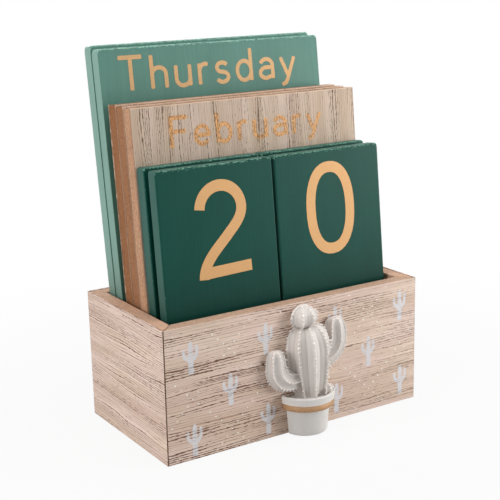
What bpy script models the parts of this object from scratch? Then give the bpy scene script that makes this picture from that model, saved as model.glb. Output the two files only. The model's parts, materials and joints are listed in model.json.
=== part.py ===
"""Perpetual desk calendar: nine thick cards that lean in an open wooden box.

A mitred, veneered box holds two weekday cards, three veneered month cards and two rows of
number cards. A half-round cactus in a pot, cast in one piece, is glued to the front.

Metres, +Z up. The origin is the middle of the box's underside, and the front faces -Y.
"""
import math

import bmesh
import bpy
from mathutils import Matrix, Vector

# Fits and finishes that every piece shares
SEAT_GAP = 0.0003
MERGE_DISTANCE = 0.00003
EDGE_SEGMENTS = 2
ROUND_EDGE_PROFILE_SHARE = 0.5
SHARP_ANGLE = math.radians(35)

# Boards and veneers
BOARD_THICKNESS = 0.0061
VENEER_THICKNESS = 0.0006
BOX_HEIGHT = 0.062
BOARD_EASE = 0.00035
VENEER_CORNER_EASE = 0.00033
SIDE_CLEARANCE = 0.0020

# Cards: the widths and lengths run along the leaning card
CARD_WIDTH = 0.122
WEEKDAY_CARD_LENGTH = 0.170
WEEKDAY_CARD_THICKNESS = 0.0063
REAR_WEEKDAY_EXTRA_LENGTH = 0.0012
MONTH_CARD_LENGTH = 0.1455
MONTH_CORE_THICKNESS = 0.0058
NUMBER_CARD_LENGTH = 0.1205
NUMBER_CARD_THICKNESS = 0.0065
NUMBER_PAIR_GAP = 0.0013
NUMBER_ROW_TRIM = 0.0007
PAINTED_EDGE_ROUND = 0.0008
MONTH_EDGE_EASE = 0.00025

# How far each card or row stands off the box's middle, as a share of the side clearance
OFF_MIDDLE_SHARES = {
    "number_card_front": -0.16,
    "number_card_rear": -0.07,
    "month_card_front": -0.12,
    "month_card_middle": 0.10,
    "month_card_rear": 0.32,
    "weekday_card_front": -0.20,
    "weekday_card_rear": -0.36,
}

# How the cards stand: two leans, and the free spaces between the groups
WEEKDAY_LEAN = math.radians(6.6)
CARD_LEAN = math.radians(5.4)
FRONT_FOOT_CLEARANCE = 0.0003
NUMBER_ROW_GAP = 0.0042
NUMBER_TO_MONTH_GAP = 0.0003
MONTH_TO_WEEKDAY_GAP = 0.0004

# Pot of the casting, a half-round flower pot with a wide rim
POT_CENTRE_X = 0.0034
POT_SET_BACK = 0.0008
POT_HEIGHT = 0.0195
POT_RIM_RADIUS = 0.0144
POT_RIM_FOOT_RADIUS = 0.0137
POT_RIM_DEPTH = 0.0067
POT_STEP = 0.0020
POT_FOOT_RADIUS = 0.0106
POT_FOOT_ROUND = 0.0009
POT_LIP = 0.0015
POT_LIP_ROUND = 0.0005
SOIL_DEPTH = 0.0016
BODY_SINK = 0.0014
POT_TURN_STEPS = 44
ROUND_STEPS = 3

# Ribbed barrel of the cactus and the crown that sits on it
BODY_RADIUS = 0.0113
BODY_FOOT_RADIUS = 0.0088
BODY_BELLY_RISE = 0.0230
BODY_DOME_RISE = 0.0120
BODY_SIDE_SHIFT = 0.0004
CROWN_RADIUS = 0.0072
CROWN_HALF_HEIGHT = 0.0054
CROWN_SIDE_SHIFT = -0.0018
CROWN_SINK = 0.0014

# Arms, each swept along one bend from inside the barrel to its tip
ARM_JOINT_RADIUS = 0.0036
LEFT_ARM_RADIUS = 0.0059
LEFT_ARM_REACH = 0.0172
LEFT_ARM_START_RISE = 0.0080
LEFT_ARM_RISE = 0.0167
LEFT_ARM_ELBOW = 0.0080
RIGHT_ARM_RADIUS = 0.0056
RIGHT_ARM_REACH = 0.0158
RIGHT_ARM_START_RISE = 0.0150
RIGHT_ARM_RISE = 0.0190
RIGHT_ARM_ELBOW = 0.0115

# Small round cactus beside the barrel
PINCUSHION_RADIUS = 0.0032
PINCUSHION_SIDE_SHIFT = 0.0086
PINCUSHION_FORWARD = 0.0058
PINCUSHION_NUB = 0.0005

# Ribs: counts, and shares of the radius that carries them
BODY_RIBS = 10
CROWN_RIBS = 10
ARM_RIBS = 8
RIB_DEPTH_SHARE = 0.13
RIB_SHARPNESS_SHARE = 0.85
DOME_SHARE = 0.55
ARM_DOME_SHARE = 0.42
ARM_SWELL_SHARE = 0.55
COLUMNS_PER_RIB = 6
BODY_ROWS = 22
CROWN_ROWS = 14
ARM_ROWS = 20
PINCUSHION_COLUMNS = 20
PINCUSHION_ROWS = 12
PINCUSHION_NUBS = 8

# The flat back is cut this far in front of the round forms' middle
BACK_CUT_INSET = 0.0002
CUT_OVERRUN = 0.005

# Sizes that follow from the ones above
WALL = VENEER_THICKNESS + SEAT_GAP + BOARD_THICKNESS
CARD_FLOOR = BOARD_THICKNESS + SEAT_GAP
BOX_WIDTH = CARD_WIDTH + 2 * (SIDE_CLEARANCE + WALL)
NUMBER_CARD_WIDTH = (CARD_WIDTH - NUMBER_PAIR_GAP - NUMBER_ROW_TRIM) / 2
MONTH_CARD_THICKNESS = MONTH_CORE_THICKNESS + 2 * (VENEER_THICKNESS + SEAT_GAP)
SOIL_LEVEL = POT_HEIGHT - SOIL_DEPTH

COLOURS = {
    "board": (0.55, 0.36, 0.24),
    "box veneer": (0.61, 0.50, 0.41),
    "sage paint": (0.12, 0.27, 0.21),
    "dark green paint": (0.02, 0.10, 0.07),
    "month core": (0.45, 0.24, 0.14),
    "month veneer": (0.55, 0.42, 0.33),
    "cast resin": (0.62, 0.59, 0.57),
}
ROUGHNESSES = {"cast resin": 0.55, "sage paint": 0.5, "dark green paint": 0.45}
PLAIN_ROUGHNESS = 0.75


def clear_scene():
    for old in list(bpy.data.objects):
        bpy.data.objects.remove(old, do_unlink=True)


def collection(name):
    group = bpy.data.collections.new(name)
    bpy.context.scene.collection.children.link(group)
    return group


def material(node, finish):
    made = bpy.data.materials.new(node + " " + finish)
    made.use_nodes = True
    shader = made.node_tree.nodes["Principled BSDF"]
    shader.inputs["Base Color"].default_value = (*COLOURS[finish], 1.0)
    shader.inputs["Roughness"].default_value = ROUGHNESSES.get(finish, PLAIN_ROUGHNESS)
    shader.inputs["Metallic"].default_value = 0.0
    return made


def place(node, bm, group, finish=None, parent=None):
    """Makes an object of the mesh, smooth with sharp creases, in its collection."""
    bmesh.ops.recalc_face_normals(bm, faces=bm.faces)
    mesh = bpy.data.meshes.new(node)
    bm.to_mesh(mesh)
    bm.free()
    mesh.shade_smooth()
    mesh.set_sharp_from_angle(angle=SHARP_ANGLE)
    thing = bpy.data.objects.new(node, mesh)
    group.objects.link(thing)
    if finish:
        mesh.materials.append(material(node, finish))
    if parent:
        thing.parent = parent
    return thing


def block(low, high):
    """A box between two corners, as a bmesh."""
    bm = bmesh.new()
    bmesh.ops.create_cube(bm, size=1.0)
    for vert in bm.verts:
        for axis in range(3):
            vert.co[axis] = high[axis] if vert.co[axis] > 0 else low[axis]
    return bm


def soften(thing, width, segments=EDGE_SEGMENTS):
    bevel = thing.modifiers.new("eased edges", "BEVEL")
    bevel.width = width
    bevel.segments = segments
    bevel.limit_method = "ANGLE"
    bevel.angle_limit = SHARP_ANGLE
    bevel.use_clamp_overlap = True


# The box


def mitred_board(node, length, skin, thickness, turn, reach, group, finish):
    """A wall board or veneer with mitred ends.

    skin is how far its outer face lies inside the box's face, and reach is how far that face
    of the box is from the box's middle.
    """
    mitre_set_back = SEAT_GAP / math.sqrt(2)
    half = length / 2 - skin - mitre_set_back
    bm = block((-half, skin - reach, 0), (half, skin + thickness - reach, BOX_HEIGHT))
    for vert in bm.verts:
        if vert.co.y > skin + thickness / 2 - reach:
            vert.co.x -= math.copysign(thickness, vert.co.x)
    wall = place(node, bm, group, finish)
    wall.rotation_euler.z = turn
    return wall


def ease_outer_corners(thing, reach):
    """Rounds the two upright edges of a veneer's outer face."""
    bm = bmesh.new()
    bm.from_mesh(thing.data)
    outer = [edge for edge in bm.edges
             if all(vert.co.y < VENEER_THICKNESS / 2 - reach for vert in edge.verts)
             and abs(edge.verts[0].co.z - edge.verts[1].co.z) > BOX_HEIGHT / 2]
    bmesh.ops.bevel(bm, geom=outer, offset=VENEER_CORNER_EASE, segments=EDGE_SEGMENTS,
                    profile=ROUND_EDGE_PROFILE_SHARE, affect="EDGES")
    bm.to_mesh(thing.data)
    bm.free()


def build_box(group, depth):
    sides = {
        "front": (BOX_WIDTH, depth / 2, 0.0),
        "right": (depth, BOX_WIDTH / 2, math.radians(90)),
        "back": (BOX_WIDTH, depth / 2, math.radians(180)),
        "left": (depth, BOX_WIDTH / 2, math.radians(-90)),
    }
    for side, (length, reach, turn) in sides.items():
        board = mitred_board(side + "_board", length, VENEER_THICKNESS + SEAT_GAP,
                             BOARD_THICKNESS, turn, reach, group, "board")
        soften(board, BOARD_EASE)
        veneer = mitred_board(side + "_veneer", length, 0.0, VENEER_THICKNESS, turn, reach,
                              group, "box veneer")
        ease_outer_corners(veneer, reach)
    half_x = BOX_WIDTH / 2 - WALL - SEAT_GAP
    half_y = depth / 2 - WALL - SEAT_GAP
    base = place("base_panel", block((-half_x, -half_y, 0), (half_x, half_y, BOARD_THICKNESS)),
                 group, "board")
    soften(base, BOARD_EASE)


# The cards


def card_holder(name, x, heel_y, lean, group):
    """An empty on the card's heel, its lower rear edge; its Z runs up the leaning card."""
    holder = bpy.data.objects.new(name + " heel", None)
    group.objects.link(holder)
    holder.location = (x, heel_y, CARD_FLOOR)
    holder.rotation_euler.x = -lean
    return holder


def card_layer(node, holder, behind, thickness, width, length, group, finish):
    """One layer of a card, its rear face this far in front of the card's rear face."""
    bm = block((-width / 2, -behind - thickness, 0), (width / 2, -behind, length))
    return place(node, bm, group, finish, holder)


def painted_card(node, x, heel_y, lean, thickness, width, length, group, finish):
    holder = card_holder(node, x, heel_y, lean, group)
    card = card_layer(node, holder, 0.0, thickness, width, length, group, finish)
    soften(card, PAINTED_EDGE_ROUND, EDGE_SEGMENTS + 1)


def off_middle(name):
    return OFF_MIDDLE_SHARES[name] * SIDE_CLEARANCE


def month_card(name, heel_y, group):
    """A core board with a veneer on each face, held by one empty."""
    holder = card_holder(name, off_middle(name), heel_y, CARD_LEAN, group)
    core_behind = VENEER_THICKNESS + SEAT_GAP
    front_behind = core_behind + MONTH_CORE_THICKNESS + SEAT_GAP
    layers = (("_back_veneer", 0.0, VENEER_THICKNESS, "month veneer"),
              ("_core", core_behind, MONTH_CORE_THICKNESS, "month core"),
              ("_front_veneer", front_behind, VENEER_THICKNESS, "month veneer"))
    for ending, behind, thickness, finish in layers:
        layer = card_layer(name + ending, holder, behind, thickness, CARD_WIDTH,
                           MONTH_CARD_LENGTH, group, finish)
        if finish == "month core":
            soften(layer, MONTH_EDGE_EASE)


def heel_behind(heel_y, gap, thickness, lean):
    """Where the next card's heel stands, a gap and its own thickness behind this one."""
    return heel_y + (gap + thickness) / math.cos(lean)


def card_heels():
    """Each card's heel as a distance behind the box's front face, then the box's depth."""
    heels = {}
    heels["number_card_front"] = (WALL + FRONT_FOOT_CLEARANCE
                                  + NUMBER_CARD_THICKNESS * math.cos(CARD_LEAN))
    heels["number_card_rear"] = heel_behind(heels["number_card_front"], NUMBER_ROW_GAP,
                                            NUMBER_CARD_THICKNESS, CARD_LEAN)
    heel = heel_behind(heels["number_card_rear"], NUMBER_TO_MONTH_GAP, MONTH_CARD_THICKNESS,
                       CARD_LEAN)
    for name in ("month_card_front", "month_card_middle", "month_card_rear"):
        heels[name] = heel
        heel = heel_behind(heel, SEAT_GAP, MONTH_CARD_THICKNESS, CARD_LEAN)
    weekday_foot = WEEKDAY_CARD_THICKNESS * (math.cos(WEEKDAY_LEAN)
                                             + math.sin(WEEKDAY_LEAN) * math.tan(CARD_LEAN))
    heels["weekday_card_front"] = heels["month_card_rear"] + MONTH_TO_WEEKDAY_GAP + weekday_foot
    heels["weekday_card_rear"] = heel_behind(heels["weekday_card_front"], SEAT_GAP,
                                             WEEKDAY_CARD_THICKNESS, WEEKDAY_LEAN)
    lean_run = (BOX_HEIGHT - CARD_FLOOR) * math.tan(WEEKDAY_LEAN)
    depth = heels["weekday_card_rear"] + lean_run + SEAT_GAP + WALL
    return heels, depth


def build_cards(group, heels, depth):
    front_face = -depth / 2
    for name, length in (("weekday_card_front", WEEKDAY_CARD_LENGTH),
                         ("weekday_card_rear", WEEKDAY_CARD_LENGTH + REAR_WEEKDAY_EXTRA_LENGTH)):
        painted_card(name, off_middle(name), front_face + heels[name], WEEKDAY_LEAN,
                     WEEKDAY_CARD_THICKNESS, CARD_WIDTH, length, group, "sage paint")
    for name in ("month_card_front", "month_card_middle", "month_card_rear"):
        month_card(name, front_face + heels[name], group)
    middle = (NUMBER_CARD_WIDTH + NUMBER_PAIR_GAP) / 2
    for row in ("number_card_front", "number_card_rear"):
        for side, x in (("_left", -middle), ("_right", middle)):
            painted_card(row + side, off_middle(row) + x, front_face + heels[row], CARD_LEAN,
                         NUMBER_CARD_THICKNESS, NUMBER_CARD_WIDTH, NUMBER_CARD_LENGTH, group,
                         "dark green paint")


# The cactus casting


def turned_pot():
    """The pot's profile from the soil's middle over the lip and down to the foot's middle."""
    def arc(centre, radius, start, end):
        angles = [start + (end - start) * step / ROUND_STEPS for step in range(ROUND_STEPS + 1)]
        return [(centre[0] + radius * math.cos(math.radians(a)),
                 centre[1] + radius * math.sin(math.radians(a))) for a in angles]

    rim_foot = POT_HEIGHT - POT_RIM_DEPTH
    body_top_radius = POT_RIM_FOOT_RADIUS - POT_STEP
    lip_inner = POT_RIM_RADIUS - POT_LIP
    profile = [(0, SOIL_LEVEL), (lip_inner - POT_LIP_ROUND, SOIL_LEVEL)]
    profile += arc((lip_inner + POT_LIP_ROUND, POT_HEIGHT - POT_LIP_ROUND), POT_LIP_ROUND, 180, 90)
    profile += arc((POT_RIM_RADIUS - POT_LIP_ROUND, POT_HEIGHT - POT_LIP_ROUND),
                   POT_LIP_ROUND, 90, 0)
    profile += arc((POT_RIM_FOOT_RADIUS - POT_LIP_ROUND, rim_foot + POT_LIP_ROUND),
                   POT_LIP_ROUND, 0, -90)
    profile += [(body_top_radius, rim_foot)]
    profile += arc((POT_FOOT_RADIUS - POT_FOOT_ROUND, POT_FOOT_ROUND), POT_FOOT_ROUND, 0, -90)
    profile += [(0, 0)]
    return profile


def screw_solid(name, profile, cutters):
    mesh = bpy.data.meshes.new(name)
    verts = [(x, 0.0, z) for x, z in profile]
    edges = [(i, i + 1) for i in range(len(profile) - 1)]
    mesh.from_pydata(verts, edges, [])
    thing = bpy.data.objects.new(name, mesh)
    cutters.objects.link(thing)
    turn = thing.modifiers.new("turned", "SCREW")
    turn.axis = "Z"
    turn.angle = math.radians(360)
    turn.steps = POT_TURN_STEPS
    turn.render_steps = POT_TURN_STEPS
    turn.use_merge_vertices = True
    turn.merge_threshold = MERGE_DISTANCE
    turn.use_smooth_shade = True
    return thing


def ball_grid(columns, rows):
    """A unit ball with its poles on Z, and each vert's turn, latitude and whether it is a pole."""
    bm = bmesh.new()
    bmesh.ops.create_uvsphere(bm, u_segments=columns, v_segments=rows, radius=1.0)
    places = []
    for vert in bm.verts:
        latitude = math.asin(max(-1.0, min(1.0, vert.co.z)))
        pole = len(vert.link_edges) == columns
        places.append((vert, math.atan2(vert.co.y, vert.co.x), latitude, pole))
    return bm, places


def ribbed(radius, turn, ribs):
    """Sharp crests with hollow flutes between them; a crest lies at turn 0."""
    flute = abs(math.sin(ribs * turn / 2)) ** RIB_SHARPNESS_SHARE
    return radius * (1 - RIB_DEPTH_SHARE * flute)


def barrel(name, cutters):
    """The ribbed body: tapered below its belly, domed above it."""
    bm, places = ball_grid(BODY_RIBS * COLUMNS_PER_RIB, BODY_ROWS)
    for vert, turn, latitude, pole in places:
        if latitude < 0:
            radius = BODY_FOOT_RADIUS + (BODY_RADIUS - BODY_FOOT_RADIUS) * math.cos(latitude)
            rise = BODY_BELLY_RISE * math.sin(latitude)
        else:
            radius = BODY_RADIUS * math.cos(latitude) ** DOME_SHARE
            rise = BODY_DOME_RISE * math.sin(latitude)
        reach = 0 if pole else ribbed(radius, turn, BODY_RIBS)
        vert.co = (reach * math.cos(turn), reach * math.sin(turn), rise)
    body = place(name, bm, cutters)
    body.location = (BODY_SIDE_SHIFT, 0, SOIL_LEVEL + BODY_BELLY_RISE - BODY_SINK)
    return body


def crown(name, cutters, top):
    """The squat ribbed ball on the body's top."""
    bm, places = ball_grid(CROWN_RIBS * COLUMNS_PER_RIB, CROWN_ROWS)
    for vert, turn, latitude, pole in places:
        reach = 0 if pole else ribbed(CROWN_RADIUS * math.cos(latitude), turn, CROWN_RIBS)
        vert.co = (reach * math.cos(turn), reach * math.sin(turn),
                   CROWN_HALF_HEIGHT * math.sin(latitude))
    ball = place(name, bm, cutters)
    ball.location = (BODY_SIDE_SHIFT + CROWN_SIDE_SHIFT, 0, top + CROWN_HALF_HEIGHT - CROWN_SINK)
    return ball


def arm_path(along, reach, rise, elbow):
    """A point and its heading on the arm's middle line: out, round the elbow and up."""
    out = abs(reach) - elbow
    corner = elbow * math.pi / 2
    walked = along * (out + corner + rise - elbow)
    if walked < out:
        x, z, heading = walked, 0, 0
    elif walked < out + corner:
        heading = (walked - out) / elbow
        x, z = out + elbow * math.sin(heading), elbow * (1 - math.cos(heading))
    else:
        x, z, heading = out + elbow, elbow + walked - out - corner, math.pi / 2
    side = math.copysign(1, reach)
    return Vector((side * x, 0, z)), Vector((side * math.cos(heading), 0, math.sin(heading)))


def arm(name, cutters, start, reach, rise, elbow, bulb_radius):
    """A ribbed arm that swells from its joint to its round tip."""
    bm, places = ball_grid(ARM_RIBS * COLUMNS_PER_RIB, ARM_ROWS)
    for vert, turn, latitude, pole in places:
        along = (1 + math.sin(latitude)) / 2
        centre, heading = arm_path(along, reach, rise, elbow)
        across = heading.cross(Vector((0, 1, 0)))
        swell = math.sin(min(1.0, along / ARM_SWELL_SHARE) * math.pi / 2)
        radius = ARM_JOINT_RADIUS + (bulb_radius - ARM_JOINT_RADIUS) * swell
        radius *= 0 if pole else math.cos(latitude) ** ARM_DOME_SHARE
        out = ribbed(radius, turn, ARM_RIBS)
        vert.co = centre + across * (out * math.cos(turn)) + Vector((0, out * math.sin(turn), 0))
    limb = place(name, bm, cutters)
    limb.location = start
    return limb


def pincushion(name, cutters):
    """The small round cactus beside the body, covered in nubs."""
    bm, places = ball_grid(PINCUSHION_COLUMNS, PINCUSHION_ROWS)
    for vert, turn, latitude, pole in places:
        waves = math.cos(PINCUSHION_NUBS * turn) * math.cos(PINCUSHION_NUBS * latitude)
        radius = PINCUSHION_RADIUS + (0 if pole else PINCUSHION_NUB * waves)
        vert.co = vert.co.normalized() * radius
    ball = place(name, bm, cutters)
    ball.location = (PINCUSHION_SIDE_SHIFT, -PINCUSHION_FORWARD, SOIL_LEVEL)
    return ball


def joined(thing, other, operation):
    step = thing.modifiers.new(operation.lower() + " " + other.name, "BOOLEAN")
    step.operation = operation
    step.solver = "EXACT"
    step.object = other


def build_casting(group, cutters, depth):
    """Pot, body, crown, arms and small cactus, joined and cut flat at the back."""
    pot = screw_solid("pot form", turned_pot(), cutters)
    body_top = SOIL_LEVEL + BODY_BELLY_RISE - BODY_SINK + BODY_DOME_RISE
    body = barrel("barrel form", cutters)
    ball = crown("crown form", cutters, body_top)
    left_joint = (BODY_SIDE_SHIFT, 0, SOIL_LEVEL + LEFT_ARM_START_RISE)
    right_joint = (BODY_SIDE_SHIFT, 0, SOIL_LEVEL + RIGHT_ARM_START_RISE)
    left = arm("left arm form", cutters, left_joint, -LEFT_ARM_REACH, LEFT_ARM_RISE,
               LEFT_ARM_ELBOW, LEFT_ARM_RADIUS)
    right = arm("right arm form", cutters, right_joint, RIGHT_ARM_REACH, RIGHT_ARM_RISE,
                RIGHT_ARM_ELBOW, RIGHT_ARM_RADIUS)
    small = pincushion("small cactus form", cutters)
    half_width = LEFT_ARM_REACH + RIGHT_ARM_REACH + CUT_OVERRUN
    tall = body_top + POT_HEIGHT + CUT_OVERRUN
    behind = place("flat back cutter", block((-half_width, -BACK_CUT_INSET, -CUT_OVERRUN),
                                             (half_width, POT_RIM_RADIUS + CUT_OVERRUN, tall)),
                   cutters)

    casting = bpy.data.objects.new("cactus_relief", bpy.data.meshes.new("cactus_relief"))
    group.objects.link(casting)
    bpy.context.view_layer.update()
    depsgraph = bpy.context.evaluated_depsgraph_get()
    casting.data = bpy.data.meshes.new_from_object(pot.evaluated_get(depsgraph))
    casting.data.name = "cactus_relief"
    casting.data.transform(Matrix.Translation((0, POT_SET_BACK, 0)))
    bpy.data.objects.remove(pot)
    casting.data.materials.append(material("cactus_relief", "cast resin"))
    for form in (body, ball, left, right, small):
        joined(casting, form, "UNION")
    joined(casting, behind, "DIFFERENCE")
    anchor = Vector((POT_CENTRE_X, -depth / 2 - SEAT_GAP + BACK_CUT_INSET, 0))
    casting.location = anchor
    for form in (body, ball, left, right, small, behind):
        form.location += anchor
        form.hide_render = True
        form.display_type = "WIRE"


def main():
    clear_scene()
    parts = collection("perpetual desk calendar")
    cutters = collection("cutters")
    heels, depth = card_heels()
    build_box(parts, depth)
    build_cards(parts, heels, depth)
    build_casting(parts, cutters, depth)
    bpy.context.view_layer.update()


main()
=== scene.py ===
"""Perpetual desk calendar, dressed for close views.

An open veneered box holds leaning cards: sage weekday cards, veneered month cards and dark
green number cards with gold lettering. A white cactus casting is glued to the box's front.
Everything is in metres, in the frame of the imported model.
"""
import json
import math

import bmesh
import bpy
import numpy as np
from mathutils import Matrix, Vector, geometry, noise


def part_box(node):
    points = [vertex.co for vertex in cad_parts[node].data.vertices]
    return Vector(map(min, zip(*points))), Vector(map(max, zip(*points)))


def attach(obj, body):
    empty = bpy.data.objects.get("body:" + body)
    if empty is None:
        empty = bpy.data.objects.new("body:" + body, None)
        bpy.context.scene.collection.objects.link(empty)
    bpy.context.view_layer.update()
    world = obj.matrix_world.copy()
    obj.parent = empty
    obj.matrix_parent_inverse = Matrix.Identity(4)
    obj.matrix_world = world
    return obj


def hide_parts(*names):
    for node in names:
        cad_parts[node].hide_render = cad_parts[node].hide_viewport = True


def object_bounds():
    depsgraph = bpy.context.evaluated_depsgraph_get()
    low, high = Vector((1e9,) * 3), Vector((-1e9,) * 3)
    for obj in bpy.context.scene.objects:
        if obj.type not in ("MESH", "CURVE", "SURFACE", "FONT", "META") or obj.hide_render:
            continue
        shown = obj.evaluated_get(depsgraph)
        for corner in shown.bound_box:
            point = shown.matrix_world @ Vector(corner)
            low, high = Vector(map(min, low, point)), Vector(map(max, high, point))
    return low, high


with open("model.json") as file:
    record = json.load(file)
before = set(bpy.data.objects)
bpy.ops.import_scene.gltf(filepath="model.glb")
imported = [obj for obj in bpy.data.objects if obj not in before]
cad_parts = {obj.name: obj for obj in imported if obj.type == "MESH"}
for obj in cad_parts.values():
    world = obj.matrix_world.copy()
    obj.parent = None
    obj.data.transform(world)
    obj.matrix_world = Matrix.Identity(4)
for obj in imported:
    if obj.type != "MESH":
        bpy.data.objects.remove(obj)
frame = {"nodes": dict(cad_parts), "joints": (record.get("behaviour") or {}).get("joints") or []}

bl_info = {
    "name": "Perpetual Desk Calendar",
    "version": (1, 0, 0),
    "blender": (4, 5, 0),
    "location": "View3D > Sidebar > Desk Calendar",
    "description": "Finishes a desk calendar: veneered box, painted cards, gold lettering, cast cactus",
    "category": "Add Mesh",
}

CAD_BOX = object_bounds()
MM = 0.001
TINY = 0.000001

WEEKDAY_BODIES = ("weekday_front", "weekday_rear")
MONTH_BODIES = ("month_front", "month_middle", "month_rear")
NUMBER_BODIES = ("number_front_left", "number_front_right", "number_rear_left",
                 "number_rear_right")
SIDES = ("front", "back", "left", "right")
BOX_HALF_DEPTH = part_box("back_veneer")[1].y
BOX_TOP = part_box("front_board")[1].z


# Sizes and colours that a user would change


def linear(red, green, blue):
    """A screen colour from 0 to 255 as the linear values that Blender mixes."""
    def one(value):
        share = value / 255
        return share / 12.92 if share <= 0.04045 else ((share + 0.055) / 1.055) ** 2.4
    return one(red), one(green), one(blue)


def paint_property(name, text, *screen):
    return bpy.props.FloatVectorProperty(name=name, description=text, subtype="COLOR", size=3,
                                         min=0.0, max=1.0, default=linear(*screen))


def length_property(name, text, millimetres):
    return bpy.props.FloatProperty(name=name, description=text, unit="LENGTH",
                                   subtype="DISTANCE", precision=5, default=millimetres * MM)


def share_property(name, text, value):
    return bpy.props.FloatProperty(name=name, description=text, subtype="FACTOR", min=0.0,
                                   max=1.0, default=value)


def angle_property(name, text, degrees):
    return bpy.props.FloatProperty(name=name, description=text, unit="ROTATION",
                                   subtype="ANGLE", default=math.radians(degrees))


class CalendarColours(bpy.types.PropertyGroup):
    sage: paint_property("Sage", "Paint of the weekday cards", 98, 141, 129)
    # Painted light: the weekday cards' sides painted paler for the light and sheen they catch
    sage_lit_side: paint_property("Sage, sides", "Weekday paint on the cards' sawn sides", 131, 166, 154)
    # Paler paint on the edges: partly abrasion, partly a painted highlight
    sage_worn_and_lit: paint_property("Sage, worn", "Weekday paint where an edge is rubbed", 166, 212, 190)
    green: paint_property("Dark green", "Paint of the number cards", 12, 72, 61)
    # Painted light: the number cards' sides painted paler for the light and sheen they catch
    green_lit_side: paint_property("Dark green, sides", "Number paint on the cards' sawn sides",
                               51, 94, 84)
    # Paler paint on the edges: partly abrasion, partly a painted highlight
    green_worn_and_lit: paint_property("Dark green, worn", "Number paint where an edge is rubbed",
                               124, 170, 150)
    gold: paint_property("Gold", "Gold of letters and digits", 201, 154, 100)
    band_gold: paint_property("Band gold", "Gold of the band round the pot", 166, 126, 86)
    month_gold: paint_property("Month gold", "Gold that is printed on the open grain",
                               236, 172, 104)
    box_light: paint_property("Box wood, light", "Washed veneer between grain lines", 233, 211, 197)
    box_dark: paint_property("Box wood, dark", "Washed veneer in its darker bands", 213, 188, 171)
    box_pore: paint_property("Box pores", "Open pores of the box veneer", 126, 82, 58)
    month_light: paint_property("Month wood, light", "Month veneer between grain lines",
                                215, 193, 176)
    month_dark: paint_property("Month wood, dark", "Month veneer in its darker bands",
                               200, 176, 156)
    month_pore: paint_property("Month pores", "Open pores of the month veneer", 100, 70, 48)
    # Paler veneer edge: bare veneer on the sides; on the top edge partly scuffing, partly a painted
    # highlight
    month_bare_and_lit_edge: paint_property("Month wood, edge", "Rubbed upper edge of the month veneer",
                               242, 208, 180)
    rim: paint_property("Board", "Bare board of the box's rim and inside", 200, 161, 135)
    # Painted shade: the same board as the rim, darker on the front
    front_rim_shaded: paint_property("Board, front", "Bare board of the box's front rim", 186, 153, 130)
    core: paint_property("Core board", "Bare edge of the front month card's core", 189, 145, 114)
    # Painted shade: the core board darker on the cards that stand behind others
    core_shaded: paint_property("Core board, dark", "Bare edge of the rear month card's core",
                              146, 97, 62)
    glue: paint_property("Glue line", "Dark line where veneer meets board", 110, 78, 56)
    seam: paint_property("Corner seam", "Dark line down the box's corners", 92, 68, 52)
    # Crest white and hollow grey: painted highlight and painted shade on one white casting
    resin: paint_property("Casting", "White of the cactus's crests", 236, 229, 223)
    resin_shaded_hollow: paint_property("Casting, hollow", "The casting between its crests", 193, 185, 179)
    pot: paint_property("Pot", "White of the pot", 219, 215, 211)
    print_white: paint_property("Print", "Cool white of the printed cacti", 222, 220, 223)
    dot_white: paint_property("Dots", "Warm white of the printed dots", 246, 240, 232)


class CalendarSizes(bpy.types.PropertyGroup):
    paint_edge: length_property("Painted edge", "Rounding of the painted cards' edges", 0.8)
    paint_unevenness: length_property("Unevenness", "Waviness of the painted edges", 0.13)
    film: length_property("Film", "How far lettering and prints stand proud", 0.06)
    word_height: length_property("Weekday capitals", "Height of the weekday capitals", 16.8)
    widest_word: length_property("Widest word", "Words are drawn in to this width", 108.0)
    word_top: length_property("Weekday top", "From the card's top to the capitals' tops", 3.7)
    month_height: length_property("Month capitals", "Height of the month capitals", 14.7)
    month_top: length_property("Month top", "From the card's top to the capitals' tops", 5.1)
    digit_height: length_property("Digits", "Height of the digits", 43.9)
    digit_top: length_property("Digit top", "From the card's top to the digits' tops", 6.2)
    print_height: length_property("Printed cactus", "Height of a printed cactus", 15.3)
    print_across: length_property("Print pitch", "Between columns of printed cacti", 19.45)
    print_up: length_property("Print rise", "Between rows of neighbouring columns", 19.2)
    dot: length_property("Dot", "Radius of a printed dot", 0.42)
    nub: length_property("Nub", "Radius of a nub on the cactus's ribs", 0.45)
    nub_pitch: length_property("Nub pitch", "Between nubs along a rib", 1.75)
    cast_detail: length_property("Cast detail", "Finest detail that the casting keeps", 0.202)


class CalendarStudio(bpy.types.PropertyGroup):
    view_turn: angle_property("Turn", "How far round the object the camera stands", -32.445)
    view_tilt: angle_property("Tilt", "How far the camera looks down", 14.381)
    view_roll: angle_property("Roll", "How far the camera leans", -1.252)
    view_place: bpy.props.FloatVectorProperty(
        name="Place", description="Where the camera stands", subtype="TRANSLATION",
        unit="LENGTH", default=(-0.28233, -0.44205, 0.21425))
    lens: bpy.props.FloatProperty(name="Lens", description="Focal length", unit="CAMERA",
                                  default=81.54)
    daylight: bpy.props.FloatProperty(name="Daylight", description="Even light from all round",
                                      min=0.0, default=0.094)
    key: bpy.props.FloatProperty(name="Key", description="Power of the low lamp at the right",
                                 unit="POWER", min=0.0, default=2.2)
    side: bpy.props.FloatProperty(name="Side", description="Power of the high lamp at the right",
                                  unit="POWER", min=0.0, default=1.1)
    fill: bpy.props.FloatProperty(name="Fill", description="Power of the lamp at the left",
                                  unit="POWER", min=0.0, default=7.0)
    top: bpy.props.FloatProperty(name="Top", description="Power of the lamp above", unit="POWER",
                                 min=0.0, default=7.7)
    back: bpy.props.FloatProperty(name="Back", description="Power of the lamp behind",
                                  unit="POWER", min=0.0, default=5.0)


# Node graphs written as expressions


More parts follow.
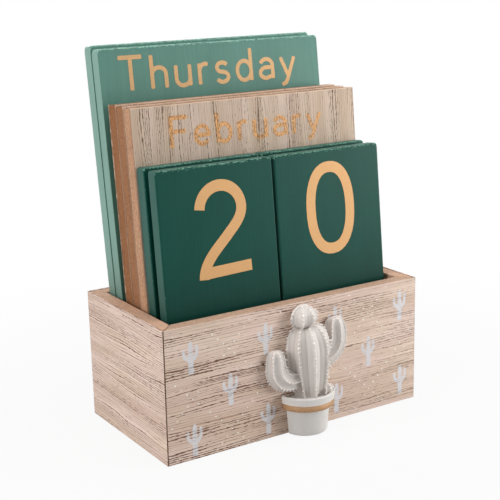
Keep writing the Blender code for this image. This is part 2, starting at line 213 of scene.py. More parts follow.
class Wire:
    """A node socket that Python expressions can use."""

    def __init__(self, graph, socket):
        self.graph = graph
        self.socket = socket

    def of(self, output):
        """Another output of the same node."""
        return Wire(self.graph, self.socket.node.outputs[output])

    def __add__(self, other):
        return self.graph.math("ADD", self, other)

    def __sub__(self, other):
        return self.graph.math("SUBTRACT", self, other)

    def __rsub__(self, other):
        return self.graph.math("SUBTRACT", other, self)

    def __mul__(self, other):
        return self.graph.math("MULTIPLY", self, other)

    def __truediv__(self, other):
        return self.graph.math("DIVIDE", self, other)

    def __pow__(self, other):
        return self.graph.math("POWER", self, other)

    __radd__ = __add__
    __rmul__ = __mul__

    def rising(self, low, high):
        """0 below low, 1 above high, and a soft step between them."""
        return self.graph.node("ShaderNodeMapRange", {"interpolation_type": "SMOOTHSTEP"},
                               {"Value": self, "From Min": low, "From Max": high})


class Graph:
    """A node tree that grows as its methods are called."""

    def __init__(self, tree):
        self.tree = tree

    def node(self, kind, settings=None, inputs=None, output=0):
        made = self.tree.nodes.new(kind)
        for name, value in (settings or {}).items():
            setattr(made, name, value)
        for name, value in (inputs or {}).items():
            if isinstance(value, Wire):
                self.tree.links.new(value.socket, made.inputs[name])
            else:
                made.inputs[name].default_value = value
        return Wire(self, made.outputs[output]) if made.outputs else made

    def math(self, operation, *values):
        return self.node("ShaderNodeMath", {"operation": operation}, dict(enumerate(values)))

    def vector(self, operation, *values):
        return self.node("ShaderNodeVectorMath", {"operation": operation},
                         dict(enumerate(values)))

    def scaled(self, vector, factor):
        return self.node("ShaderNodeVectorMath", {"operation": "SCALE"},
                         {0: vector, "Scale": factor})

    def mix(self, factor, first, second):
        """Between two colours."""
        return self.node("ShaderNodeMix", {"data_type": "RGBA"},
                         {0: factor, 6: opaque(first), 7: opaque(second)}, output=2)

    def noise(self, place, detail=2.0):
        return self.node("ShaderNodeTexNoise", None,
                         {"Vector": place, "Scale": 1.0, "Detail": detail})


def opaque(colour):
    return colour if isinstance(colour, Wire) else (*colour, 1.0)


class Finish(Graph):
    """A Principled material in the making. Its places are in millimetres."""

    def __init__(self, name, lean=0.0, shift=(0.0, 0.0, 0.0)):
        self.material = bpy.data.materials.new(name)
        self.material.use_nodes = True
        super().__init__(self.material.node_tree)
        self.tree.nodes.clear()
        self.where = self.node("ShaderNodeTexCoord", output="Object")
        self.place = self.node("ShaderNodeMapping", None, {
            "Vector": self.where, "Location": shift, "Rotation": (lean, 0.0, 0.0),
            "Scale": (1 / MM,) * 3})

    def grain(self, axis, along, across, seed=0.0, detail=2.0, place=None):
        """Noise that is drawn out along one axis; both lengths are in millimetres."""
        stretch = [1 / across] * 3
        stretch[axis] = 1 / along
        spot = self.vector("MULTIPLY_ADD", place or self.place, stretch, (seed,) * 3)
        return self.noise(spot, detail)

    def close(self, colour, roughness, height=None, depth=0.0, **constants):
        """Ends the material; depth is the bump's depth in millimetres."""
        inputs = {"Base Color": opaque(colour), "Roughness": roughness}
        if height is not None:
            inputs["Normal"] = self.node("ShaderNodeBump", None,
                                         {"Height": height, "Distance": depth * MM})
        inputs.update({name.replace("_", " "): value for name, value in constants.items()})
        shader = self.node("ShaderNodeBsdfPrincipled", None, inputs)
        self.node("ShaderNodeOutputMaterial", None, {"Surface": shader})
        return self.material


def card_lean(body):
    """How far a body's cards lean back, from the joint that they lift along."""
    axis = lift_axis(body)
    return math.atan2(axis.y, axis.z)


def lift_axis(body):
    return Vector(next(j["axis"] for j in frame["joints"] if j["child"] == body)).normalized()


# Materials


class Wood:
    """A veneer's colours and its figure, in millimetres.

    Growth lines lie a pitch apart, sway a little and come and go over a reach. Pores gather
    in bands by a cluster share. The figure fades by a share towards the right: partly the
    wood's own figure, and partly painted light that makes the right paler.
    """

    def __init__(self, light, dark, pore, sway, pitch, reach, line, open_share, pore_size,
                 cluster, calm_and_lit_right=0.0):
        self.light, self.dark, self.pore = light, dark, pore
        self.sway, self.pitch, self.reach = sway, pitch, reach
        self.line, self.open_share = line, open_share
        self.pore_size, self.cluster, self.calm_and_lit_right = pore_size, cluster, calm_and_lit_right


def box_wood(colours, axis):
    shades = colours.box_light, colours.box_dark, colours.box_pore
    if axis == 0:
        return Wood(*shades, 4.0, 1.15, 24.0, 0.95, 0.95, (2.5, 0.34), 0.20, 0.55)
    return Wood(*shades, 9.0, 0.95, 26.0, 0.95, 0.95, (2.2, 0.30), 0.14, 0.15)


def month_wood(colours):
    return Wood(colours.month_light, colours.month_dark, colours.month_pore,
                2.5, 1.0, 14.0, 0.60, 0.80, (1.7, 0.26), 0.17)


def veneer(finish, wood, axis, seed):
    """Open-pored veneer with its grain along an axis: colour, height and how open the pores are."""
    sway_width, pitch, reach = wood.sway, wood.pitch, wood.reach
    sway = finish.grain(axis, 75, 19, seed + 3.1, 1.0)
    bent = finish.vector("ADD", finish.place, finish.scaled((1.0,) * 3, (sway - 0.5) * sway_width))
    apart = finish.node("ShaderNodeSeparateXYZ", None, {0: bent}, output=0 if axis == 2 else 2)
    wander = finish.grain(axis, reach * 3.0, pitch * 3.0, seed + 11.7, 1.0, bent)
    ring = finish.math("SINE", (apart / pitch + wander * 3.0) * math.tau)
    broad = finish.grain(axis, 140, 7.0, seed + 17.9, 2.0, bent)
    band = finish.grain(axis, 90, 4.4, seed + 23.9, 1.0, bent).rising(0.42, 0.64)
    patch = finish.grain(axis, 45, 14, seed + 77.3, 1.0).rising(0.40, 0.64)
    strength = finish.grain(axis, reach, pitch * 0.7, seed + 31.3, 1.0, bent).rising(0.24, 0.54)
    fibre = finish.grain(axis, 6.0, 0.3, seed + 41.9, 2.0, bent)
    ragged = finish.grain(axis, *wood.pore_size, seed + 61.7, 2.0, bent)
    lines = (ring + ragged * 0.5).rising(0.78, 1.18) * strength
    lines = lines * (1 - (1 - band) * (wood.cluster * 2.8))
    pores = (ring * 0.12 + ragged + band * wood.cluster).rising(0.76, 0.81)
    to_right = finish.node("ShaderNodeSeparateXYZ", None, {0: finish.place})
    # Partly the wood's own figure, partly painted light: lines and pores fade towards the right
    figure = 1 - to_right.rising(-30, 45) * wood.calm_and_lit_right
    colour = finish.mix(broad.rising(0.30, 0.70), wood.light, wood.dark)
    tint = finish.mix(patch, (1.01, 0.995, 1.005), (0.995, 0.99, 0.95))
    colour = finish.vector("MULTIPLY", colour, tint)
    colour = finish.mix(lines * figure * wood.line, colour, wood.pore)
    colour = finish.scaled(colour, fibre * 0.34 + 0.83)
    colour = finish.mix(pores * figure * wood.open_share, colour, [c * 0.7 for c in wood.pore])
    height = fibre * 0.2 - pores - lines * 0.4
    return colour, height, pores


def box_veneer(name, colours, axis, seed):
    """The box's washed veneer, with the edges at the corners burnt dark."""
    finish = Finish(name)
    colour, height, pores = veneer(finish, box_wood(colours, axis), axis, seed)
    corner = corner_darkness(finish, axis)
    colour = finish.mix(corner, colour, colours.seam)
    return finish.close(colour, 0.62 + pores * 0.2, height, 0.16, Specular_IOR_Level=0.35)


def corner_darkness(finish, axis):
    """1 at the two vertical corners that a veneer's grain runs towards, 0 past their burn."""
    apart = finish.node("ShaderNodeSeparateXYZ", None, {0: finish.place}, output=axis)
    reach = max(-CAD_BOX[0][axis], CAD_BOX[1][axis]) / MM if axis == 0 else BOX_HALF_DEPTH / MM
    ragged = finish.grain(2, 3.0, 3.0, 7.7)
    from_corner = reach - finish.math("ABSOLUTE", apart)
    return 1 - (from_corner + ragged * 0.3).rising(0.42, 0.72)


# How far round a month card's edges their stain reaches, in millimetres
MONTH_EDGE = 0.12


def top_end(finish, body, box, reach=MONTH_EDGE):
    """1 on the top edge of a leaning card's boards and a reach below it, 0 under that."""
    top = (lift_axis(body).dot(box.place.translation) + box.size.y / 2) / MM
    level = finish.node("ShaderNodeSeparateXYZ", None, {0: finish.place}, output=2)
    return level.rising(top - 2 * reach, top - reach)


def month_core(name, colour, body, seed, box):
    """Raw core board, darker where its top end drinks the stain."""
    finish = Finish(name, card_lean(body))
    look, height = sawn_board(finish, colour, 2, seed, 1.6)
    look = finish.mix(top_end(finish, body, box) * 0.8, look, [c * 0.4 for c in colour])
    return finish.close(look, 0.78, height, 0.10, Specular_IOR_Level=0.3)


def month_veneer(name, colours, body, seed, box, bare=0.0):
    """Washed veneer; its side edges are stained brown like the core, or partly bare. Its top
    edge is paler, partly from scuffing and partly as a painted highlight.
    """
    finish = Finish(name, card_lean(body))
    colour, height, pores = veneer(finish, month_wood(colours), 2, seed)
    across = finish.node("ShaderNodeSeparateXYZ", None, {0: finish.place})
    from_middle = finish.math("ABSOLUTE", across - box.place.translation.x / MM)
    edge = finish.math("GREATER_THAN", from_middle, box.size.x / 2 / MM - MONTH_EDGE)
    dashes = finish.grain(2, 5.0, 5.0, seed + 3.0, 2.0).rising(0.50, 0.58)
    stain = finish.mix(dashes * bare, [c * 0.8 for c in colours.core], colours.month_bare_and_lit_edge)
    colour = finish.mix(edge, colour, stain)
    # Painted highlight, with some scuffing: the top edge and a strip below it paler
    colour = finish.mix(top_end(finish, body, box, 0.26) * 0.8, colour, colours.month_bare_and_lit_edge)
    return finish.close(colour, 0.64 + pores * 0.2, height, 0.16, Specular_IOR_Level=0.35)


def month_ink(name, colours, body, seed):
    """Gold that the open grain of the veneer below it breaks up."""
    finish = Finish(name, card_lean(body))
    wood, height, pores = veneer(finish, month_wood(colours), 2, seed)
    broken = finish.grain(2, 1.6, 0.30, 5.5, 2.0).rising(0.21, 0.33)
    ink = broken * (1 - pores)
    grit = finish.grain(2, 1.5, 0.48, 9.0, 2.0)
    gold = finish.mix(grit.rising(0.47, 0.59), colours.month_gold,
                      [c * 0.42 for c in colours.month_gold])
    colour = finish.mix(ink * 0.96, finish.scaled(wood, 0.8), gold)
    return finish.close(colour, 0.62 - ink * 0.12, height + ink * 0.4, 0.12,
                        Specular_IOR_Level=0.4)


# Heights over which the cards' paint goes from painted shade at the box's rim to its full colour, and
# the share of the colour left in that painted shade
RIM_SHADE_BETWEEN = (BOX_TOP - 12 * MM, BOX_TOP + 34 * MM)
RIM_SHADE_DEPTH = 0.66
# Painted shade: tint of the weekday faces below the month cards' top
COVERED_SHADE_TINT = (0.80, 0.83, 0.76)


def card_paint(name, face, side, worn_and_lit, body, covered=None):
    """Brushed paint over board: faint streaks up the card, nicked edges, and scuffed edges
    painted paler, partly as abrasion and partly as a painted highlight.

    The sides are painted paler than the faces, as painted light and sheen on the sides. The
    paint is darker from a little above the box's rim downwards, as painted shade, and so are
    the faces below a height that other cards cover, as painted shade from those cards.
    """
    finish = Finish(name, card_lean(body))
    streak = finish.grain(2, 26, 0.55, 2.0, 3.0)
    cloud = finish.grain(2, 30, 14, 7.0, 2.0)
    speck = finish.grain(2, 0.5, 0.32, 13.0, 1.0)
    wear_and_highlight = finish.node("ShaderNodeAttribute", {"attribute_name": "wear_and_highlight"}, output="Fac")
    sawn = finish.node("ShaderNodeAttribute", {"attribute_name": "sawn"}, output="Fac")
    chips = finish.grain(0, 1.0, 0.42, 19.0, 3.0)
    level = finish.node("ShaderNodeSeparateXYZ", None, {0: finish.where}, output=2)
    # Painted shade: darker from a little above the box's rim downwards
    rim_shade = level.rising(*RIM_SHADE_BETWEEN) * (1 - RIM_SHADE_DEPTH) + RIM_SHADE_DEPTH
    tone = (streak * 0.26 + cloud * 0.22 + speck * 0.30 + 0.61) * rim_shade
    # Painted light: the sides take the paler side colour
    colour = finish.scaled(finish.mix(sawn, face, side), tone)
    if covered:
        # Painted shade from the month cards that stand in front of the weekday faces
        shade = (1 - level.rising(covered - 30 * MM, covered - 2 * MM)) * (1 - sawn)
        colour = finish.mix(shade, colour, finish.vector("MULTIPLY", colour, COVERED_SHADE_TINT))
    # Paler edges, mostly on the ends: partly abrasion, partly a painted highlight
    rubbed_and_lit = (wear_and_highlight + (chips - 0.5) * 3.4).rising(0.62, 1.05) * wear_and_highlight.rising(0.02, 0.25)
    colour = finish.mix(rubbed_and_lit * 0.72, colour, worn_and_lit)
    nicks = finish.grain(0, 1.0, 0.5, 27.0, 2.0).rising(0.53, 0.61) * wear_and_highlight
    colour = finish.mix(nicks * 0.9, colour, [c * 0.35 for c in face])
    height = streak * 0.5 + speck * 0.4 - nicks * 0.8 - rubbed_and_lit * 0.3
    return finish.close(colour, 0.36 + rubbed_and_lit * 0.2 + speck * 0.12, height, 0.07,
                        Specular_IOR_Level=0.12)


def gold_ink(name, gold, ground, bare, body=None):
    """Matt gold with a fine sparkle; a share of the ground below it shows through as specks."""
    finish = Finish(name, card_lean(body) if body else 0.0)
    grit = finish.grain(0, 0.24, 0.24, 1.0, 1.0)
    cloud = finish.grain(0, 9, 9, 4.0, 2.0)
    speck = finish.grain(2, 0.6, 0.36, 8.0, 2.0).rising(0.50, 0.62)
    tone = grit * 0.5 + cloud * 0.10 + 0.72
    colour = finish.mix(speck * bare, finish.scaled(gold, tone), ground)
    return finish.close(colour, 0.46 + grit * 0.2, grit, 0.03, Metallic=0.25,
                        Specular_IOR_Level=0.5)


def sawn_board(finish, colour, axis, seed, rough=1.1):
    """Sawn and sanded board: colour and height, with fine specks drawn out along its length."""
    speck = finish.grain(axis, 1.3, 0.45, seed + 2.0, 2.0)
    streak = finish.grain(axis, 16, 1.1, seed + 6.0, 2.0)
    cloud = finish.grain(axis, 24, 9, seed + 9.0, 2.0)
    pits = finish.grain(axis, 1.1, 0.5, seed + 15.0, 1.0).rising(0.60, 0.70)
    tone = speck * rough + streak * 0.30 + cloud * 0.20 + (0.75 - rough / 2)
    look = finish.mix(pits * 0.5, finish.scaled(colour, tone), [c * 0.45 for c in colour])
    return look, speck - pits


def bare_board(name, colour, axis, seed):
    finish = Finish(name)
    look, height = sawn_board(finish, colour, axis, seed)
    return finish.close(look, 0.78, height, 0.10, Specular_IOR_Level=0.3)


def dark_line(name, colour):
    """Glue and scorched wood in a narrow joint."""
    finish = Finish(name)
    speck = finish.grain(2, 1.2, 0.4, 3.0, 2.0)
    return finish.close(finish.scaled(colour, speck * 0.6 + 0.7), 0.8, speck, 0.05,
                        Specular_IOR_Level=0.2)


def print_ink(name, colours, white, seed):
    """Thin white print that lets the veneer's pores show through."""
    finish = Finish(name)
    wood, height, pores = veneer(finish, box_wood(colours, 0), 0, seed)
    thin = finish.grain(0, 3.0, 0.5, 8.0, 2.0).rising(0.30, 0.52)
    cover = (thin * 0.16 + 0.78) * (1 - pores * 0.4)
    colour = finish.mix(cover, wood, white)
    return finish.close(colour, 0.66, height, 0.12, Specular_IOR_Level=0.3)


def cast_resin(name, crest, hollow):
    """Matt white casting with a fine grain; its hollows are painted greyer and its crests
    whiter, as painted shade and painted highlight.
    """
    finish = Finish(name)
    cloud = finish.grain(2, 9, 6, 2.0, 2.0)
    speck = finish.grain(2, 0.5, 0.4, 5.0, 2.0)
    relief = finish.node("ShaderNodeAttribute", {"attribute_name": "relief"}, output="Fac")
    tone = cloud * 0.08 + speck * 0.08 + 0.92
    # Painted shade in the hollows and painted highlight on the crests, by the stored relief
    colour = finish.mix(relief, hollow, crest)
    return finish.close(finish.scaled(colour, tone), 0.5, speck + cloud * 0.5, 0.05,
                        Specular_IOR_Level=0.35)


# Meshes


def new_piece(name, mesh, finishes, body, replaced=()):
    """Shows a finished mesh as a piece that rides on a body."""
    mesh.name = name
    mesh.materials.clear()
    for finish in finishes:
        mesh.materials.append(finish)
    piece = bpy.data.objects.new(name, mesh)
    bpy.context.scene.collection.objects.link(piece)
    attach(piece, body)
    if replaced:
        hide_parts(*replaced)
    return piece


def mesh_of(bm, name):
    mesh = bpy.data.meshes.new(name)
    bm.to_mesh(mesh)
    bm.free()
    mesh.shade_smooth()
    return mesh


def dress(nodes, finish):
    """Gives CAD nodes a finish and leaves their shape alone."""
    for name in nodes:
        for place in frame["nodes"][name].material_slots:
            place.material = finish


class LocalBox:
    """A box of nodes measured along its own axes: across, up and out of its front face."""

    def __init__(self, nodes, up, out):
        up = Vector(up).normalized()
        out = Vector(out).normalized()
        axes = Matrix((up.cross(out), up, out))
        points = [axes @ v.co for n in nodes for v in frame["nodes"][n].data.vertices]
        low = Vector([min(p[i] for p in points) for i in range(3)])
        high = Vector([max(p[i] for p in points) for i in range(3)])
        self.size = high - low
        turned = axes.transposed()
        self.place = Matrix.Translation(turned @ ((low + high) / 2)) @ turned.to_4x4()


def card_box(nodes, body):
    up = lift_axis(body)
    return LocalBox(nodes, up, Vector((1, 0, 0)).cross(up))


# Share of the edge mask on the long sides; the ends keep all of it, for scuffing and a painted
# highlight
SIDE_WEAR_AND_HIGHLIGHT = 0.22
CORNER_RADIUS = 1.7
CORNER_STEPS = 5
EDGE_STEPS = 4
FINE_STEP = 0.8 * MM


def smooth_step(value):
    """0 below 0, 1 above 1, and a soft step between them."""
    value = min(1.0, max(0.0, value))
    return value * value * (3 - 2 * value)


def outline(half_width, half_length, radius, counts):
    """Points round a rectangle with round corners, anticlockwise from its lower right corner."""
    points = []
    corners = ((1, -1), (1, 1), (-1, 1), (-1, -1))
    for index, (side, end) in enumerate(corners):
        middle = Vector((side * (half_width - radius), end * (half_length - radius)))
        for step in range(CORNER_STEPS + 1):
            turn = math.radians(90) * (index - 1 + step / CORNER_STEPS)
            points.append(middle + radius * Vector((math.cos(turn), math.sin(turn))))
        side, end = corners[(index + 1) % 4]
        after = Vector((side * (half_width - radius), end * (half_length - radius)))
        turn = math.radians(90) * index
        after += radius * Vector((math.cos(turn), math.sin(turn)))
        start = points[-1]
        count = counts[index % 2]
        points += [start.lerp(after, step / count) for step in range(1, count)]
    return points


def edge_rings(thickness, edge):
    """From the front face to the back: each ring's inset from the outline, height, wear and saw.

    The saw is 1 on the card's sides and 0 on its faces.
    """
    front = [(4 * edge, thickness / 2, 0.0, 0.0), (1.7 * edge, thickness / 2, 0.15, 0.0)]
    for step in range(EDGE_STEPS + 1):
        share = step / EDGE_STEPS
        turn = math.radians(90) * share
        front.append((edge * (1 - math.sin(turn)), thickness / 2 - edge * (1 - math.cos(turn)),
                      0.45 + 0.55 * math.sin(2 * turn), share * share))
    front.append((0.0, thickness / 2 - 2.2 * edge, 0.1, 1.0))
    return front + [(inset, -height, *rest) for inset, height, *rest in reversed(front)]


def slab(name, size, edge, unevenness, seed, side_round):
    """A board with round and slightly uneven edges; its points store two masks.

    One marks the edges for scuffing and a painted highlight, strongest on the ends; the
    other, the saw, marks the card's sides. The long sides' rounding is a share of the ends'.
    """
    width, length, thickness = size
    counts = (max(2, round(length / FINE_STEP)), max(2, round(width / FINE_STEP)))
    bm = bmesh.new()
    bm.verts.layers.float.new("wear_and_highlight")
    bm.verts.layers.float.new("sawn")
    wear_and_highlight_layer, saw_layer = bm.verts.layers.float["wear_and_highlight"], bm.verts.layers.float["sawn"]
    rings = []
    for inset, height, wear_and_highlight, saw in edge_rings(thickness, edge):
        radius = max(CORNER_RADIUS * edge - inset, 0.05 * edge)
        ring = []
        for spot in outline(width / 2 - inset, length / 2 - inset, radius, counts):
            end = smooth_step((abs(spot.y) - length / 2) / edge + 2.5)
            sharper = (1 - side_round) * (1 - end)
            depth = thickness / 2 - abs(height)
            point = Vector((spot.x + math.copysign(inset * sharper, spot.x), spot.y,
                            height + math.copysign(depth * sharper, height)))
            # Scuffing and painted highlight, strongest on the ends
            rubbed_and_lit = wear_and_highlight * (SIDE_WEAR_AND_HIGHLIGHT + (1 - SIDE_WEAR_AND_HIGHLIGHT) * end)
            wobble = noise.noise_vector(point / (2.4 * MM) + Vector((seed, 0, 0)))
            wobble += 0.7 * noise.noise_vector(point / (0.7 * MM) + Vector((seed, 9, 0)))
            vert = bm.verts.new(point + wobble * unevenness * min(1.0, 1.4 * rubbed_and_lit))
            vert[wear_and_highlight_layer] = rubbed_and_lit
            vert[saw_layer] = saw
            ring.append(vert)
        rings.append(ring)
    total = len(rings[0])
    for inner, outer in zip(rings, rings[1:]):
        for k in range(total):
            after = (k + 1) % total
            bm.faces.new((inner[k], outer[k], outer[after], inner[after]))
    bm.faces.new(rings[0])
    bm.faces.new(reversed(rings[-1]))
    return mesh_of(bm, name)


# Strokes, letters and digits


def arc_points(cx, cy, rx, ry, start, end, power=2.0):
    """Points on an oval's arc, in degrees anticlockwise; a power above 2 squares the oval."""
    steps = max(3, round(abs(end - start) / 9))
    points = []
    for k in range(steps + 1):
        turn = math.radians(start + (end - start) * k / steps)
        x, y = math.cos(turn), math.sin(turn)
        points.append(Vector((cx + rx * math.copysign(abs(x) ** (2 / power), x),
                              cy + ry * math.copysign(abs(y) ** (2 / power), y))))
    return points


def stroke_points(parts):
    """A stroke's middle line: a part is a point, an arc or the three next points of a curve."""
    points = []
    for part in parts:
        if len(part) == 2:
            more = [Vector(part)]
        elif len(part) == 3:
            first, second, last = (Vector(point) for point in part)
            more = geometry.interpolate_bezier(points[-1], first, second, last, 12)
        else:
            more = arc_points(*part)
        points += [p for p in more if not points or (p - points[-1]).length > TINY]
    return points


CAP_DEPTH = 0.4


def distinct(face):
    """A face's points without those that fall on the one before."""
    return [p for k, p in enumerate(face) if (p - face[k - 1]).length > TINY]


def ribbon(points, half, soft_ends):
    """A stroke's outline as faces that share their edges: one for each step, and its caps."""
    steps = [(b - a).normalized() for a, b in zip(points, points[1:])]
    closed = (points[0] - points[-1]).length < TINY
    left = []
    right = []
    for k, point in enumerate(points):
        before = steps[k - 1] if k or closed else steps[0]
        after = steps[k % len(steps)] if k < len(steps) or closed else steps[-1]
        heading = (before + after).normalized()
        side = Vector((-heading.y, heading.x))
        reach = half / max(0.42, Vector((-after.y, after.x)).dot(side))
        for edge, shift in ((left, side * reach), (right, side * -reach)):
            backward = edge and (point + shift - edge[-1]).dot(before) < 0
            edge.append(edge[-1] if backward else point + shift)
    faces = [distinct([left[k], right[k], right[k + 1], left[k + 1]]) for k in range(len(steps))]
    faces = [face for face in faces if len(face) > 2]
    if soft_ends and not closed:
        for point, heading in ((points[0], -steps[0]), (points[-1], steps[-1])):
            side = Vector((heading.y, -heading.x))
            turns = [math.radians(20 * k) for k in range(10)]
            faces.append([point + side * half * math.cos(t) + heading * half * CAP_DEPTH * math.sin(t)
                          for t in turns])
    return faces


def signed_area(face):
    return sum(a.x * b.y - b.x * a.y for a, b in zip(face, face[1:] + face[:1])) / 2


def film_from(faces, height, shift, thickness, bm, place):
    """Adds the union of flat faces, drawn 1 tall, to a mesh as a closed film of a height.

    Half of the film's thickness lies below its surface.
    """
    points = []
    loops = []
    for face in faces:
        if signed_area(face) < 0:
            face = face[::-1]
        loops.append(list(range(len(points), len(points) + len(face))))
        points += face
    spots, _, triangles, _, _, sources = geometry.delaunay_2d_cdt(points, [], loops, 0, TINY)
    flat = bmesh.new()
    verts = [flat.verts.new((spot.x * height + shift, spot.y * height, 0)) for spot in spots]
    for triangle, source in zip(triangles, sources):
        if source:
            flat.faces.new([verts[k] for k in triangle])
    loose = [v for v in flat.verts if not v.link_faces]
    bmesh.ops.delete(flat, geom=loose, context="VERTS")
    bmesh.ops.dissolve_limit(flat, angle_limit=math.radians(0.5), verts=flat.verts,
                             edges=flat.edges)
    lifted = bmesh.ops.extrude_face_region(flat, geom=flat.faces[:])
    top = [g for g in lifted["geom"] if isinstance(g, bmesh.types.BMVert)]
    bmesh.ops.translate(flat, verts=top, vec=(0, 0, 2 * thickness))
    bmesh.ops.translate(flat, verts=flat.verts, vec=(0, 0, -thickness))
    bmesh.ops.transform(flat, matrix=place, verts=flat.verts)
    bmesh.ops.recalc_face_normals(flat, faces=flat.faces)
    part = bpy.data.meshes.new("film")
    flat.to_mesh(part)
    flat.free()
    bm.from_mesh(part)
    bpy.data.meshes.remove(part)


OVAL = (0.30, 0.335, 0.235, 0.275)

# Each letter is its width and its strokes, for capitals that are 1 tall
LETTERS = {
    "A": (0.84, [[(0.06, 0.05), (0.42, 0.94)], [(0.42, 0.94), (0.78, 0.05)],
                 [(0.19, 0.34), (0.65, 0.34)]]),
    "F": (0.66, [[(0.62, 0.94), (0.07, 0.94), (0.07, 0.06)], [(0.07, 0.52), (0.54, 0.52)]]),
    "J": (0.56, [[(0.48, 0.94), (0.48, 0.29), (0.27, 0.29, 0.21, 0.23, 0, -165)]]),
    "M": (0.94, [[(0.07, 0.05), (0.07, 0.95)], [(0.87, 0.05), (0.87, 0.95)],
                 [(0.08, 0.92), (0.47, 0.20)], [(0.86, 0.92), (0.47, 0.20)]]),
    "N": (0.75, [[(0.07, 0.05), (0.07, 0.95)], [(0.68, 0.05), (0.68, 0.95)],
                 [(0.08, 0.92), (0.67, 0.08)]]),
    "O": (0.88, [[(0.44, 0.50, 0.37, 0.44, 0, 360)]]),
    "S": (0.74, [[(0.37, 0.718, 0.27, 0.222, 32, 270), (0.37, 0.278, 0.30, 0.218, 90, -152)]]),
    "T": (0.78, [[(0.05, 0.94), (0.73, 0.94)], [(0.39, 0.94), (0.39, 0.06)]]),
    "W": (1.20, [[(0.06, 0.95), (0.33, 0.07)], [(0.33, 0.07), (0.60, 0.88)],
                 [(0.60, 0.88), (0.87, 0.07)], [(0.87, 0.07), (1.14, 0.95)]]),
    "a": (0.57, [[(0.285, 0.42, 0.215, 0.19, 152, 0), (0.50, 0.06)],
                 [(0.50, 0.37), (0.275, 0.215, 0.21, 0.155, 90, 270), (0.50, 0.13)]]),
    "b": (0.60, [[(0.065, 0.94), (0.065, 0.06)], [(*OVAL, 0, 360)]]),
    "c": (0.54, [[(*OVAL, 45, 315)]]),
    "d": (0.60, [[(0.535, 0.94), (0.535, 0.06)], [(*OVAL, 0, 360)]]),
    "e": (0.60, [[(0.10, 0.335), (0.50, 0.335)], [(*OVAL, -6, 318)]]),
    "g": (0.60, [[(*OVAL, 0, 360)],
                 [(0.535, 0.61), (0.535, 0.02), (0.30, 0.02, 0.235, 0.20, 0, -145)]]),
    "h": (0.57, [[(0.065, 0.94), (0.065, 0.06)],
                 [(0.065, 0.40), (0.285, 0.42, 0.22, 0.19, 180, 0), (0.505, 0.06)]]),
    "i": (0.13, [[(0.065, 0.61), (0.065, 0.06)], [(0.065, 0.85), (0.065, 0.91)]]),
    "l": (0.13, [[(0.065, 0.94), (0.065, 0.06)]]),
    "m": (0.84, [[(0.065, 0.61), (0.065, 0.06)],
                 [(0.065, 0.40), (0.2425, 0.44, 0.1775, 0.17, 180, 0), (0.42, 0.06)],
                 [(0.42, 0.40), (0.5975, 0.44, 0.1775, 0.17, 180, 0), (0.775, 0.06)]]),
    "n": (0.57, [[(0.065, 0.61), (0.065, 0.06)],
                 [(0.065, 0.40), (0.285, 0.42, 0.22, 0.19, 180, 0), (0.505, 0.06)]]),
    "o": (0.60, [[(*OVAL, 0, 360)]]),
    "p": (0.60, [[(0.065, 0.61), (0.065, -0.20)], [(*OVAL, 0, 360)]]),
    "r": (0.38, [[(0.065, 0.61), (0.065, 0.06)], [(0.065, 0.38), (0.26, 0.41, 0.195, 0.20, 180, 70)]]),
    "s": (0.50, [[(0.25, 0.478, 0.175, 0.132, 35, 270), (0.25, 0.203, 0.19, 0.143, 90, -150)]]),
    "t": (0.38, [[(0.17, 0.80), (0.17, 0.19), (0.31, 0.19, 0.14, 0.13, 180, 270)],
                 [(0.03, 0.61), (0.34, 0.61)]]),
    "u": (0.57, [[(0.065, 0.61), (0.285, 0.25, 0.22, 0.19, 180, 360)],
                 [(0.505, 0.61), (0.505, 0.06)]]),
    "v": (0.56, [[(0.05, 0.62), (0.28, 0.06)], [(0.28, 0.06), (0.51, 0.62)]]),
    "y": (0.57, [[(0.05, 0.61), (0.285, 0.07)],
                 [(0.52, 0.61), (0.26, 0.0), (0.19, -0.12), (0.07, -0.165)]]),
}

# Each digit is its width and its strokes, for digits that are 1 tall
DIGITS = {
    "0": (0.63, [[(0.315, 0.50, 0.2575, 0.442, 0, 360, 2.3)]]),
    "1": (0.36, [[(0.02, 0.72), (0.28, 0.93)], [(0.27, 1.0), (0.27, 0.0)]]),
    "2": (0.645, [[(0.334, 0.687, 0.247, 0.243, 174, 0),
                   ((0.581, 0.56), (0.45, 0.475), (0.368, 0.395)),
                   ((0.242, 0.285), (0.072, 0.165), (0.066, 0.0))],
                  [(0.06, 0.058), (0.638, 0.058)]]),
    "3": (0.62, [[(0.30, 0.72, 0.22, 0.22, 165, -95)], [(0.30, 0.28, 0.25, 0.22, 95, -165)]]),
    "4": (0.66, [[(0.42, 0.97), (0.08, 0.26), (0.62, 0.26)], [(0.47, 0.56), (0.47, 0.0)]]),
    "5": (0.62, [[(0.55, 0.94), (0.15, 0.94), (0.11, 0.49)], [(0.31, 0.31, 0.24, 0.25, 140, -160)]]),
    "6": (0.62, [[(0.46, 0.97), (0.18, 0.58)], [(0.31, 0.30, 0.24, 0.24, 0, 360)]]),
    "7": (0.60, [[(0.03, 0.94), (0.55, 0.94), (0.22, 0.0)]]),
    "8": (0.62, [[(0.31, 0.74, 0.20, 0.20, 0, 360)], [(0.31, 0.29, 0.24, 0.23, 0, 360)]]),
    "9": (0.62, [[(0.16, 0.03), (0.44, 0.42)], [(0.31, 0.70, 0.24, 0.24, 0, 360)]]),
}

LETTER_STROKE = 0.119
MONTH_STROKE = 0.134
LETTER_SPACE = 0.19
DIGIT_STROKE = 0.117


